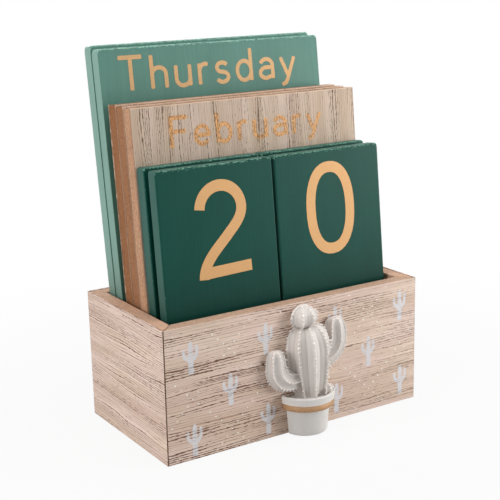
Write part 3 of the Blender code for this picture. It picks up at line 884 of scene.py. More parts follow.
def word_glyphs(word, height, widest, stroke=LETTER_STROKE):
    """Each letter's faces and where it starts; a long word is drawn in to its widest."""
    spans = [LETTERS[letter][0] for letter in word]
    width = (sum(spans) + LETTER_SPACE * (len(word) - 1)) * height
    squeeze = min(1.0, widest / width)
    start = -width * squeeze / 2
    glyphs = []
    for letter, span in zip(word, spans):
        faces = []
        for parts in LETTERS[letter][1]:
            line = [Vector((p.x * squeeze, p.y)) for p in stroke_points(parts)]
            faces += ribbon(line, stroke / 2, True)
        glyphs.append((faces, start))
        start += (span + LETTER_SPACE) * squeeze * height
    return glyphs


def digit_glyphs(digit):
    """A digit's faces, with ends cut flat and centred on X."""
    span, strokes = DIGITS[digit]
    middle = Vector((span / 2, 0))
    faces = []
    for parts in strokes:
        faces += ribbon([p - middle for p in stroke_points(parts)], DIGIT_STROKE / 2, False)
    return [(faces, 0.0)]


def legend_place(box, back, inverted, offset, baseline, tilt=0.0):
    """Where a legend stands: the card's front or back, upright or upside down."""
    turn = Matrix.Rotation(math.pi if back else 0.0, 4, "Y")
    turn = turn @ Matrix.Rotation(math.pi if inverted else 0.0, 4, "Z")
    place = Matrix.Translation((offset, baseline, box.size.z / 2))
    return box.place @ turn @ place @ Matrix.Rotation(math.radians(tilt), 4, "Z")


def lettering(name, legends, height, film, finish, body):
    """One piece that holds all of a card's legends, given as glyphs and places."""
    bm = bmesh.new()
    for glyphs, place in legends:
        for faces, start in glyphs:
            film_from(faces, height, start, film, bm, place)
    mesh = mesh_of(bm, name)
    mesh.shade_flat()
    return new_piece(name, mesh, [finish], body)


# The words and digits on each card: front top, front bottom, back top, back bottom

WEEKDAY_LEGENDS = {
    "weekday_front": ("Thursday", "Friday", None, "Sunday"),
    "weekday_rear": ("Monday", "Tuesday", "Wednesday", None),
}
MONTH_LEGENDS = {
    "month_front": ("February", "March", "April", "January"),
    "month_middle": ("May", "June", "July", "August"),
    "month_rear": ("September", "October", "November", None),
}
NUMBER_LEGENDS = {
    "number_front_left": ("2", "3", "0", "1"),
    "number_front_right": ("0", "1", "2", "3"),
    "number_rear_left": ("4", "5", "6", "7"),
    "number_rear_right": ("8", "9", None, None),
}
LEGEND_SIDES = ((False, False), (False, True), (True, False), (True, True))

# How far the digits are printed off their middle place, in millimetres across and up, and
# how far they are turned, in degrees
DIGIT_SHIFTS = {
    "number_front_left": (1.65, -0.3, 1.7),
    "number_front_right": (0.1, 0.5, 0.0),
    "number_rear_left": (0.4, 0.2, -0.6),
    "number_rear_right": (-0.5, -0.3, 0.8),
}


# The box


def seam_bar(bm, side, end):
    """A dark filler down one vertical corner, just inside the two veneers' eased edges."""
    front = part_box("front_veneer")
    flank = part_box("left_veneer")
    outer_x = -flank[0].x
    face_x = front[1].x
    outer_y = -front[0].y
    flank_y = flank[1].y
    inset = 0.06 * MM
    section = [(face_x, outer_y - inset), (outer_x - inset, flank_y),
               (outer_x - 0.5 * MM, flank_y - 0.5 * MM), (face_x - 0.5 * MM, outer_y - 0.5 * MM)]
    low = [bm.verts.new((side * x, end * y, inset)) for x, y in section]
    high = [bm.verts.new((side * x, end * y, BOX_TOP - inset)) for x, y in section]
    for k in range(4):
        after = (k + 1) % 4
        bm.faces.new((low[k], low[after], high[after], high[k]))
    bm.faces.new(low)
    bm.faces.new(high)


class CALENDAR_OT_box(bpy.types.Operator):
    """Veneer, board and dark joints of the box"""
    bl_idname = "calendar.box"
    bl_label = "Box"

    def execute(self, context):
        colours = context.scene.calendar_colours
        for side in SIDES:
            axis = 0 if side in ("front", "back") else 1
            seed = 10.0 * SIDES.index(side)
            dress([side + "_veneer"], box_veneer(side + "_veneer_finish", colours, axis, seed))
            # The front rim takes a darker copy of the board colour, as painted shade
            rim = colours.front_rim_shaded if side == "front" else colours.rim
            dress([side + "_board"], bare_board(side + "_board_finish", rim, axis, seed))
        dress(["base_panel"], bare_board("base_finish", colours.rim, 0, 50.0))
        bm = bmesh.new()
        for side in (-1, 1):
            for end in (-1, 1):
                seam_bar(bm, side, end)
        bmesh.ops.recalc_face_normals(bm, faces=bm.faces)
        seams = mesh_of(bm, "corner_seams")
        seams.shade_flat()
        new_piece("corner_seams", seams, [dark_line("seam_finish", colours.seam)], "box")
        return {"FINISHED"}


# Weekday and number cards


def painted_card(body, node, sizes, finish, seed, side_round):
    box = card_box([node], body)
    mesh = slab(node + "_painted", box.size, sizes.paint_edge, sizes.paint_unevenness, seed,
                side_round)
    mesh.transform(box.place)
    new_piece(node + "_painted", mesh, [finish], body, [node])
    return box


class CALENDAR_OT_weekday_cards(bpy.types.Operator):
    """Painted weekday cards and their gold words"""
    bl_idname = "calendar.weekday_cards"
    bl_label = "Weekday cards"

    def execute(self, context):
        colours = context.scene.calendar_colours
        sizes = context.scene.calendar_sizes
        for seed, body in enumerate(WEEKDAY_BODIES):
            node = body.replace("weekday", "weekday_card")
            finish = card_paint(body + "_paint", colours.sage, colours.sage_lit_side,
                                colours.sage_worn_and_lit, body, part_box("month_card_rear_core")[1].z)
            box = painted_card(body, node, sizes, finish, seed * 17.0, 0.2)
            legends = []
            baseline = box.size.y / 2 - sizes.word_top - sizes.word_height
            for word, (back, inverted) in zip(WEEKDAY_LEGENDS[body], LEGEND_SIDES):
                if word:
                    legends.append((word_glyphs(word, sizes.word_height, sizes.widest_word),
                                    legend_place(box, back, inverted, -2.4 * MM, baseline)))
            lettering(body + "_words", legends, sizes.word_height, sizes.film,
                      gold_ink(body + "_gold", colours.gold, colours.sage, 0.5, body), body)
        return {"FINISHED"}


class CALENDAR_OT_number_cards(bpy.types.Operator):
    """Painted number cards and their gold digits"""
    bl_idname = "calendar.number_cards"
    bl_label = "Number cards"

    def execute(self, context):
        colours = context.scene.calendar_colours
        sizes = context.scene.calendar_sizes
        for seed, body in enumerate(NUMBER_BODIES):
            node = body.replace("number", "number_card")
            finish = card_paint(body + "_paint", colours.green, colours.green_lit_side,
                                colours.green_worn_and_lit, body)
            box = painted_card(body, node, sizes, finish, 40.0 + seed * 17.0, 1.25)
            legends = []
            baseline = box.size.y / 2 - sizes.digit_top - sizes.digit_height
            aside, up, tilt = DIGIT_SHIFTS[body]
            for digit, (back, inverted) in zip(NUMBER_LEGENDS[body], LEGEND_SIDES):
                if digit:
                    place = legend_place(box, back, inverted, aside * MM, baseline + up * MM,
                                         tilt)
                    legends.append((digit_glyphs(digit), place))
            lettering(body + "_digits", legends, sizes.digit_height, sizes.film,
                      gold_ink(body + "_gold", colours.gold, colours.green, 0.1, body), body)
        return {"FINISHED"}


# Month cards


# Share of painted shade in each card's core colour, from the front card to the rear one
CORE_SHADE_SHARES = (0.0, 0.85, 1.0)


class CALENDAR_OT_month_cards(bpy.types.Operator):
    """Month cards: a core board, a veneer on each face and broken gold words"""
    bl_idname = "calendar.month_cards"
    bl_label = "Month cards"

    def execute(self, context):
        colours = context.scene.calendar_colours
        sizes = context.scene.calendar_sizes
        for seed, body in enumerate(MONTH_BODIES):
            node = body.replace("month", "month_card")
            core, front, back = node + "_core", node + "_front_veneer", node + "_back_veneer"
            # Painted shade: the cores of the rear cards darker
            shade = Vector(colours.core).lerp(Vector(colours.core_shaded), CORE_SHADE_SHARES[seed])
            start = 200.0 + seed * 40.0
            box = card_box([core, front, back], body)
            dress([core], month_core(body + "_core_finish", shade, body, seed * 30.0, box))
            bare = 0.7 if body == MONTH_BODIES[-1] else 0.1
            dress([front, back],
                  month_veneer(body + "_veneer_finish", colours, body, start, box, bare))
            legends = []
            baseline = box.size.y / 2 - sizes.month_top - sizes.month_height
            for word, (reverse, inverted) in zip(MONTH_LEGENDS[body], LEGEND_SIDES):
                if word:
                    glyphs = word_glyphs(word, sizes.month_height, sizes.widest_word,
                                         MONTH_STROKE)
                    place = legend_place(box, reverse, inverted, -1.0 * MM, baseline)
                    legends.append((glyphs, place))
            lettering(body + "_words", legends, sizes.month_height, sizes.film,
                      month_ink(body + "_gold", colours, body, start), body)
        return {"FINISHED"}


# Prints on the box's front


PRINT_START = Vector((-56.9, 47.6)) * MM
PRINT_TILT = math.radians(1.1)
DOTS_PER_EDGE = 7


def print_half(arm, top):
    """One half of the printed cactus, from its foot to its tip: arm, spines and stem."""
    out, inner = arm + 0.045, arm - 0.045
    return stroke_points([
        (0.085, 0.0), (0.09, 0.395), ((0.16, 0.42), (out - 0.01, 0.49), (out, 0.62)),
        (out, 0.68), (out + 0.03, 0.69), (out, 0.71), (out, top - 0.04),
        (arm, top - 0.04, 0.045, 0.04, 0, 180), (inner, 0.66), (inner - 0.025, 0.67),
        (inner, 0.64), ((inner, 0.58), (0.10, 0.55), (0.078, 0.54)), (0.078, 0.62), (0.108, 0.635),
        (0.076, 0.66), (0.074, 0.76), (0.10, 0.775), (0.072, 0.80), (0.068, 0.90), (0.05, 0.955),
        (0.02, 0.975), (0.0, 1.0)])


def print_faces():
    """A tall cactus with two arms and a few spines, 1 tall and centred on its place."""
    right = print_half(0.20, 0.86)
    left = [Vector((-p.x, p.y)) for p in print_half(0.23, 0.77)[:-1]]
    return [[p - Vector((0, 0.5)) for p in right + left[::-1]]]


def on_front(face_y):
    """The plane of the box's front: X across, Y up, Z towards the viewer."""
    return Matrix.Translation((0, face_y, 0)) @ Matrix.Rotation(math.radians(90), 4, "X")


def lattice_spot(sizes, column, row):
    """A place in the print's half-drop lattice, on the front face."""
    step = Vector((column * sizes.print_across, row * sizes.print_up))
    turn = Matrix.Rotation(PRINT_TILT, 2)
    return PRINT_START + turn @ step


def dots_tree():
    """Thin round dots of slightly unlike size on the points of a mesh."""
    tree = bpy.data.node_groups.new("printed dots", "GeometryNodeTree")
    face = tree.interface
    face.new_socket("Geometry", in_out="INPUT", socket_type="NodeSocketGeometry")
    for name in ("Radius", "Film"):
        face.new_socket(name, in_out="INPUT", socket_type="NodeSocketFloat")
    face.new_socket("Finish", in_out="INPUT", socket_type="NodeSocketMaterial")
    face.new_socket("Geometry", in_out="OUTPUT", socket_type="NodeSocketGeometry")
    graph = Graph(tree)
    given = graph.node("NodeGroupInput")
    disc = graph.node("GeometryNodeMeshCylinder", None,
                      {"Vertices": 9, "Radius": given.of("Radius"),
                       "Depth": given.of("Film") * 2})
    size = graph.node("FunctionNodeRandomValue", {"data_type": "FLOAT"},
                      {"Min": 0.7, "Max": 1.2, "Seed": 4}, output="Value")
    spots = graph.node("GeometryNodeInstanceOnPoints", None,
                       {"Points": given.of("Geometry"), "Instance": disc, "Scale": size})
    whole = graph.node("GeometryNodeRealizeInstances", None, {"Geometry": spots})
    done = graph.node("GeometryNodeSetMaterial", None,
                      {"Geometry": whole, "Material": given.of("Finish")})
    graph.node("NodeGroupOutput", None, {"Geometry": done})
    return tree


def grown(base, tree, values):
    """The mesh that a geometry tree grows from a base mesh; the helper object is removed."""
    helper = bpy.data.objects.new("helper", base)
    bpy.context.scene.collection.objects.link(helper)
    step = helper.modifiers.new("grow", "NODES")
    step.node_group = tree
    for item in tree.interface.items_tree:
        if item.in_out == "INPUT" and item.name in values:
            step[item.identifier] = values[item.name]
    depsgraph = bpy.context.evaluated_depsgraph_get()
    mesh = bpy.data.meshes.new_from_object(helper.evaluated_get(depsgraph))
    bpy.data.objects.remove(helper)
    return mesh


class CALENDAR_OT_prints(bpy.types.Operator):
    """White cacti and dotted diamonds printed on the box's front"""
    bl_idname = "calendar.prints"
    bl_label = "Prints"

    def execute(self, context):
        colours = context.scene.calendar_colours
        sizes = context.scene.calendar_sizes
        low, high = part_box("front_veneer")
        ink = print_ink("print_ink", colours, colours.print_white, 0.0)
        cream = print_ink("dot_ink", colours, colours.dot_white, 0.0)
        plane = on_front(low.y)
        cactus = [(print_faces(), 0.0)]
        legends = []
        margin = sizes.print_height / 2
        for column in range(7):
            for row in range(-4, 3):
                spot = lattice_spot(sizes, column, row)
                inside = abs(spot.x) < high.x - margin / 2 and margin < spot.y < high.z - margin
                if (column + row) % 2 == 0 and inside:
                    legends.append((cactus, plane @ Matrix.Translation((spot.x, spot.y, 0))))
        lettering("printed_cacti", legends, sizes.print_height, sizes.film / 2, ink, "box")
        base = bpy.data.meshes.new("dots")
        base.from_pydata(self.dot_places(sizes, low, high), [], [])
        dots = grown(base, dots_tree(), {"Radius": sizes.dot, "Film": sizes.film / 2,
                                         "Finish": cream})
        dots.transform(plane)
        new_piece("printed_dots", dots, [cream], "box")
        return {"FINISHED"}

    @staticmethod
    def dot_places(sizes, low, high):
        """Dots along both diagonals of the diamonds round the printed cacti."""
        edge = 1.0 * MM
        places = set()
        for column in range(-2, 9):
            for row in range(-5, 4):
                if (column + row) % 2 == 0:
                    continue
                for step in range(DOTS_PER_EDGE):
                    along = step / DOTS_PER_EDGE
                    for rise in (-1, 1):
                        spot = lattice_spot(sizes, column + along, row + rise * along)
                        places.add((round(spot.x, 5), round(spot.y, 5), 0.0))
        return sorted(p for p in places
                      if low.x + edge < p[0] < high.x - edge and edge < p[1] < high.z - edge)


# The cactus casting


RIB_DEPTH = 0.13
BODY_TURN, CROWN_TURN = math.radians(4), math.radians(-15)
RIDGE = 0.6 * MM
FORM_POINTS = 72


def form_socket(face, name, kind):
    face.new_socket(name, in_out="INPUT", socket_type="NodeSocket" + kind)


def ribbed_tree():
    """A ribbed skin round a path, with pointed nubs along its crests.

    The path is a line of points with their radius as an attribute. Each rib has straight
    flanks down to a sharp valley, and a narrow ridge along its crest.
    """
    tree = bpy.data.node_groups.new("ribbed form", "GeometryNodeTree")
    face = tree.interface
    face.new_socket("Geometry", in_out="INPUT", socket_type="NodeSocketGeometry")
    for name in ("Ribs", "Rows", "Columns"):
        form_socket(face, name, "Int")
    for name in ("Turn", "Rib Depth", "Ridge", "Nub Radius", "Nub Pitch"):
        form_socket(face, name, "Float")
    form_socket(face, "Finish", "Material")
    face.new_socket("Geometry", in_out="OUTPUT", socket_type="NodeSocketGeometry")
    graph = Graph(tree)
    given = graph.node("NodeGroupInput")
    path = graph.node("GeometryNodeMeshToCurve", None, {"Mesh": given.of("Geometry")})
    radius = graph.node("GeometryNodeInputNamedAttribute", {"data_type": "FLOAT"},
                        {"Name": "form radius"})
    spot = graph.node("GeometryNodeInputPosition")
    apart = graph.node("ShaderNodeSeparateXYZ", None, {0: spot})

    along = (graph.math("SINE", apart * math.pi) + 1) / 2
    around = apart.of("Y") * math.tau
    turn = around + given.of("Turn")
    ring = graph.node("GeometryNodeSampleCurve", {"mode": "FACTOR", "data_type": "FLOAT"},
                      {"Curves": path, "Value": radius, "Factor": along})
    swing = graph.math("ABSOLUTE", graph.math("SINE", around * given.of("Ribs") / 2))
    hollow = graph.math("ARCSINE", swing) * (2 / math.pi)
    ridge = given.of("Ridge") * (1 - hollow.rising(0.06, 0.28)) * ring.rising(0.0, 0.004)
    reach = ring * (1 - given.of("Rib Depth") * hollow) + ridge
    across = graph.vector("CROSS_PRODUCT", ring.of("Tangent"), (0.0, 1.0, 0.0))
    outward = graph.vector("ADD", graph.scaled(across, graph.math("COSINE", turn)),
                           graph.scaled((0.0, 1.0, 0.0), graph.math("SINE", turn)))
    on_skin = graph.vector("ADD", ring.of("Position"), graph.scaled(outward, reach))

    sheet = graph.node("GeometryNodeMeshGrid", None,
                       {"Size X": 1.0, "Size Y": 1.0, "Vertices X": given.of("Rows"),
                        "Vertices Y": given.of("Columns")})
    skin = graph.node("GeometryNodeSetPosition", None, {"Geometry": sheet, "Position": on_skin})
    closed = graph.node("GeometryNodeMergeByDistance", None,
                        {"Geometry": skin, "Distance": 0.005 * MM})

    line = graph.node("GeometryNodeMeshLine", {"mode": "END_POINTS"},
                      {"Count": 90, "Start Location": (-0.44, 0.0, 0.0),
                       "Offset": (0.485, 0.0, 0.0)})
    starts = graph.node("GeometryNodeMeshLine", {"mode": "OFFSET"},
                        {"Count": given.of("Ribs"), "Offset": graph.node("ShaderNodeCombineXYZ", None,
                                              {"Y": graph.math("DIVIDE", 1.0,
                                                               given.of("Ribs"))})})
    crests = graph.node("GeometryNodeInstanceOnPoints", None, {"Points": starts, "Instance": line})
    crests = graph.node("GeometryNodeRealizeInstances", None, {"Geometry": crests})
    crests = graph.node("GeometryNodeStoreNamedAttribute", {"data_type": "FLOAT_VECTOR"},
                        {"Geometry": crests, "Name": "outward", "Value": outward})
    crests = graph.node("GeometryNodeSetPosition", None,
                        {"Geometry": crests, "Position": on_skin})
    crests = graph.node("GeometryNodeMeshToCurve", None, {"Mesh": crests})
    spots = graph.node("GeometryNodeCurveToPoints", {"mode": "LENGTH"},
                       {"Curve": crests, "Length": given.of("Nub Pitch")})
    wide = given.of("Nub Radius")
    nub = graph.node("GeometryNodeMeshCone", None,
                     {"Vertices": 8, "Radius Top": wide * 0.25, "Radius Bottom": wide * 1.1,
                      "Depth": wide * 2.6})
    nub = graph.node("GeometryNodeTransform", None,
                     {"Geometry": nub,
                      "Translation": graph.node("ShaderNodeCombineXYZ", None, {"Z": wide * -0.8})})
    aimed = graph.node("GeometryNodeInputNamedAttribute", {"data_type": "FLOAT_VECTOR"},
                       {"Name": "outward"})
    turned = graph.node("FunctionNodeAlignRotationToVector", {"axis": "Z"}, {"Vector": aimed})
    size = graph.node("FunctionNodeRandomValue", {"data_type": "FLOAT"},
                      {"Min": 0.5, "Max": 1.4, "Seed": 11}, output="Value")
    nubs = graph.node("GeometryNodeInstanceOnPoints", None,
                      {"Points": spots, "Instance": nub, "Rotation": turned, "Scale": size})
    both = graph.node("GeometryNodeJoinGeometry", None, {"Geometry": closed})
    tree.links.new(nubs.socket, both.socket.node.inputs["Geometry"])
    whole = graph.node("GeometryNodeRealizeInstances", None, {"Geometry": both})
    done = graph.node("GeometryNodeSetMaterial", None,
                      {"Geometry": whole, "Material": given.of("Finish")})
    graph.node("NodeGroupOutput", None, {"Geometry": done})
    return tree


def path_mesh(points, radii):
    """A line of points that carries the form's radius at each of them."""
    mesh = bpy.data.meshes.new("path")
    mesh.from_pydata(points, [(k, k + 1) for k in range(len(points) - 1)], [])
    mesh.attributes.new("form radius", "FLOAT", "POINT").data.foreach_set("value", radii)
    return mesh


def upright_form(centre, below, above, radius_at, lean=0.0):
    """A form that stands up: its heights as a ball's latitudes, and its radius at each.

    It leans sideways by a share of its height.
    """
    points = []
    radii = []
    for k in range(FORM_POINTS + 1):
        latitude = math.pi * (k / FORM_POINTS - 0.5)
        rise = math.sin(latitude) * (below if latitude < 0 else above)
        points.append(centre + Vector((lean * rise, 0, rise)))
        radii.append(radius_at(latitude))
    return points, radii


SOIL = 17.9 * MM
CAST_MIDDLE = Vector((3.4, 0, 0)) * MM
PLANT_FORWARD = 0.7 * MM
BODY_FOOT, BODY_BELLY, BODY_TAPER = 6.7 * MM, 10.4 * MM, 1.5
BODY_BELOW, BODY_ABOVE, BODY_LEAN = 23.0 * MM, 12.0 * MM, -0.075
CROWN_RADIUS, CROWN_HALF = 6.7 * MM, 5.3 * MM


def barrel_form(centre):
    def radius_at(latitude):
        if latitude < -1.57:
            return 0.0
        if latitude < 0:
            return BODY_BELLY - (BODY_BELLY - BODY_FOOT) * (-math.sin(latitude)) ** BODY_TAPER
        return BODY_BELLY * max(0.0, math.cos(latitude)) ** 0.55
    return upright_form(centre, BODY_BELOW, BODY_ABOVE, radius_at, BODY_LEAN)


def ball_form(centre, radius, half):
    return upright_form(centre, half, half, lambda latitude: radius * math.cos(latitude))


def arm_form(start, reach, rise, elbow, radius):
    """Out sideways, round an elbow and up, swelling from its joint to a round tip."""
    joint = 3.6 * MM
    side = math.copysign(1, reach)
    out = abs(reach) - elbow
    bend = elbow * math.pi / 2
    total = out + bend + rise - elbow
    points = []
    radii = []
    for k in range(FORM_POINTS + 1):
        latitude = math.pi * (k / FORM_POINTS - 0.5)
        along = (1 + math.sin(latitude)) / 2
        walked = along * total
        heading = min(math.pi / 2, max(0.0, (walked - out) / elbow))
        x = min(walked, out) + elbow * math.sin(heading)
        z = elbow * (1 - math.cos(heading)) + max(0.0, walked - out - bend)
        points.append(start + Vector((side * x, 0, z)))
        swell = math.sin(min(1.0, along / 0.55) * math.pi / 2)
        radii.append((joint + (radius - joint) * swell) * max(0.0, math.cos(latitude)) ** 0.42)
    return points, radii


# The pot's outline from the soil's middle over the lip to the foot, in millimetres: distance
# from the middle, height and rounding
POT_OUTLINE = ((0.0, 17.9, 0.0), (12.7, 17.9, 0.5), (12.9, 19.5, 0.6), (14.4, 19.5, 0.6),
               (13.7, 12.8, 0.5), (11.7, 12.7, 0.3), (10.6, 0.0, 0.9), (0.0, 0.0, 0.0))
BAND_OUTLINE = ((13.2, 12.86, 0.0), (13.66, 12.86, 0.45), (13.95, 15.9, 0.0))
POT_BACK = 1.0 * MM
POT_TURNS = 160
BACK_EASE = 1.3 * MM
BAND_FILM = 0.09 * MM


def eased(outline_points):
    """An outline in metres whose corners are rounded by arcs."""
    spots = [Vector((x, z)) * MM for x, z, _ in outline_points]
    points = [spots[0]]
    for before, spot, after, corner in zip(spots, spots[1:], spots[2:], outline_points[1:]):
        into, out = (spot - before).normalized(), (after - spot).normalized()
        turn = into.angle(out)
        cut = corner[2] * MM * math.tan(turn / 2)
        start, end = spot - into * cut, spot + out * cut
        points += [start.lerp(spot, t).lerp(spot.lerp(end, t), t) for t in (0, 0.2, 0.4, 0.6, 0.8, 1)]
    return points + [spots[-1]]


def turned(outline_points, centre, back_y, closed):
    """An outline spun round an upright axis, drawn in at the casting's back and cut flat there."""
    bm = bmesh.new()
    verts = [bm.verts.new((p.x, 0, p.y)) for p in outline_points]
    edges = [bm.edges.new(pair) for pair in zip(verts, verts[1:])]
    bmesh.ops.spin(bm, geom=verts + edges, cent=(0, 0, 0), axis=(0, 0, 1), angle=math.tau,
                   steps=POT_TURNS, use_merge=True)
    bmesh.ops.remove_doubles(bm, verts=bm.verts, dist=0.002 * MM)
    bmesh.ops.translate(bm, verts=bm.verts, vec=centre)
    for vert in bm.verts:
        near = smooth_step((vert.co.y - back_y) / BACK_EASE + 1)
        vert.co.x -= math.copysign(BACK_EASE * 0.7 * near * near, vert.co.x - centre.x)
    cut_back(bm, back_y, closed)
    return bm


def cut_back(bm, back_y, closed=True):
    """Cuts everything behind a plane away and, on a closed shape, fills the cut."""
    everything = bm.verts[:] + bm.edges[:] + bm.faces[:]
    bmesh.ops.bisect_plane(bm, geom=everything, plane_co=(0, back_y, 0), plane_no=(0, 1, 0),
                           clear_outer=True)
    if closed:
        rim = [edge for edge in bm.edges if edge.is_boundary]
        bmesh.ops.triangle_fill(bm, edges=rim, use_beauty=True, normal=(0, 1, 0))
    bmesh.ops.recalc_face_normals(bm, faces=bm.faces)


def cast_from(meshes, voxel, back_y):
    """One casting from overlapping forms: remeshed, eased a little and cut flat at the back."""
    bm = bmesh.new()
    for mesh in meshes:
        bm.from_mesh(mesh)
    bmesh.ops.recalc_face_normals(bm, faces=bm.faces)
    rough = bpy.data.meshes.new("rough casting")
    bm.to_mesh(rough)
    bm.free()
    helper = bpy.data.objects.new("helper", rough)
    bpy.context.scene.collection.objects.link(helper)
    remesh = helper.modifiers.new("cast", "REMESH")
    remesh.mode = "VOXEL"
    remesh.voxel_size = voxel
    ease = helper.modifiers.new("ease", "SMOOTH")
    ease.factor = 0.35
    ease.iterations = 1
    depsgraph = bpy.context.evaluated_depsgraph_get()
    mesh = bpy.data.meshes.new_from_object(helper.evaluated_get(depsgraph))
    bpy.data.objects.remove(helper)
    bm = bmesh.new()
    bm.from_mesh(mesh)
    cut_back(bm, back_y)
    cast = mesh_of(bm, "casting")
    cast.set_sharp_from_angle(angle=math.radians(55))
    store_relief(cast)
    return cast


RELIEF_PASSES = 60
RELIEF_REACH = 0.3 * MM


def store_relief(mesh):
    """Stores on each point how far it stands out of its surroundings: 0 hollow, 1 crest."""
    count = len(mesh.vertices)
    places = np.empty(count * 3)
    normals = np.empty(count * 3)
    ends = np.empty(len(mesh.edges) * 2, dtype=np.int64)
    mesh.vertices.foreach_get("co", places)
    mesh.vertices.foreach_get("normal", normals)
    mesh.edges.foreach_get("vertices", ends)
    places = places.reshape(-1, 3)
    first, second = ends.reshape(-1, 2).T
    links = np.bincount(first, minlength=count) + np.bincount(second, minlength=count)
    eased_places = places.copy()
    for _ in range(RELIEF_PASSES):
        around = [np.bincount(first, eased_places[second, k], count)
                  + np.bincount(second, eased_places[first, k], count) for k in range(3)]
        eased_places = (eased_places + np.stack(around, 1) / links[:, None]) / 2
    height = ((places - eased_places) * normals.reshape(-1, 3)).sum(1)
    layer = mesh.attributes.new("relief", "FLOAT", "POINT")
    layer.data.foreach_set("value", np.clip(0.5 + height / (2 * RELIEF_REACH), 0, 1))


class CALENDAR_OT_casting(bpy.types.Operator):
    """The cactus in its pot, with its gold band"""
    bl_idname = "calendar.casting"
    bl_label = "Cactus casting"

    def execute(self, context):
        colours = context.scene.calendar_colours
        sizes = context.scene.calendar_sizes
        back_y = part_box("cactus_relief")[1].y
        middle = CAST_MIDDLE + Vector((0, back_y - PLANT_FORWARD, 0))
        resin = cast_resin("plant_finish", colours.resin, colours.resin_shaded_hollow)
        plant = cast_from(self.plant(middle, sizes, resin), sizes.cast_detail, back_y)
        new_piece("cactus", plant, [resin], "box", ["cactus_relief"])
        centre = CAST_MIDDLE + Vector((0, back_y + POT_BACK, 0))
        pot = mesh_of(turned(eased(POT_OUTLINE), centre, back_y, True), "pot")
        pot.set_sharp_from_angle(angle=math.radians(40))
        store_relief(pot)
        # Painted shade: the pot's hollows darker
        clay = cast_resin("pot_finish", colours.pot, [c * 0.8 for c in colours.pot])
        new_piece("pot", pot, [clay], "box", ["cactus_relief"])
        bm = turned(eased(BAND_OUTLINE), centre, back_y, False)
        bmesh.ops.solidify(bm, geom=bm.faces[:], thickness=-BAND_FILM)
        bmesh.ops.recalc_face_normals(bm, faces=bm.faces)
        gold = gold_ink("band_gold", colours.band_gold, colours.resin, 0.1)
        new_piece("pot_band", mesh_of(bm, "pot_band"), [gold], "box")
        return {"FINISHED"}

    @staticmethod
    def plant(middle, sizes, resin):
        """The ribbed forms that grow from the soil."""
        axis = middle + Vector((0.4, 0, 0)) * MM
        belly = axis + Vector((0, 0, SOIL + BODY_BELOW - 1.4 * MM))
        top = belly.z + BODY_ABOVE
        crown = Vector((axis.x - 2.6 * MM, middle.y, top + CROWN_HALF - 1.4 * MM))
        left = axis + Vector((0, 0, SOIL + 8.4 * MM))
        right = axis + Vector((0, 0, SOIL + 15.0 * MM))
        small = middle + Vector((7.6, -6.0, 1.8)) * MM + Vector((0, 0, SOIL))
        forms = (
            (barrel_form(belly), 9, BODY_TURN, 1.15),
            (ball_form(crown, CROWN_RADIUS, CROWN_HALF), 8, CROWN_TURN, 1.05),
            (arm_form(left, -17.6 * MM, 15.7 * MM, 8.0 * MM, 5.0 * MM), 8, 0.0, 0.85),
            (arm_form(right, 15.6 * MM, 19.0 * MM, 11.5 * MM, 5.8 * MM), 8, 0.0, 0.7),
            (ball_form(small, 3.0 * MM, 2.8 * MM), 8, 0.0, 0.9),
        )
        tree = ribbed_tree()
        return [grown(path_mesh(points, radii), tree, {
            "Ribs": ribs, "Rows": 90, "Columns": ribs * 14 + 1, "Turn": turn,
            "Rib Depth": RIB_DEPTH, "Ridge": RIDGE, "Nub Radius": sizes.nub * nub,
            "Nub Pitch": sizes.nub_pitch, "Finish": resin})
            for (points, radii), ribs, turn, nub in forms]


# The studio


def lamp(name, power, width, place, target, colour=(1.0, 1.0, 1.0)):
    light = bpy.data.lights.new(name, "AREA")
    light.energy = power
    light.shape = "SQUARE"
    light.size = width
    light.color = colour
    holder = bpy.data.objects.new(name, light)
    bpy.context.scene.collection.objects.link(holder)
    place = Vector(place)
    holder.location = place
    holder.rotation_euler = (Vector(target) - place).to_track_quat("-Z", "Y").to_euler()
    holder.visible_camera = False


def seen_directly(graph):
    """1 where the camera, a reflection or a clear body looks, 0 for light on surfaces."""
    rays = graph.node("ShaderNodeLightPath", output="Is Camera Ray")
    mirrored = graph.math("MAXIMUM", rays, rays.of("Is Glossy Ray"))
    return graph.math("MAXIMUM", mirrored, rays.of("Is Transmission Ray"))


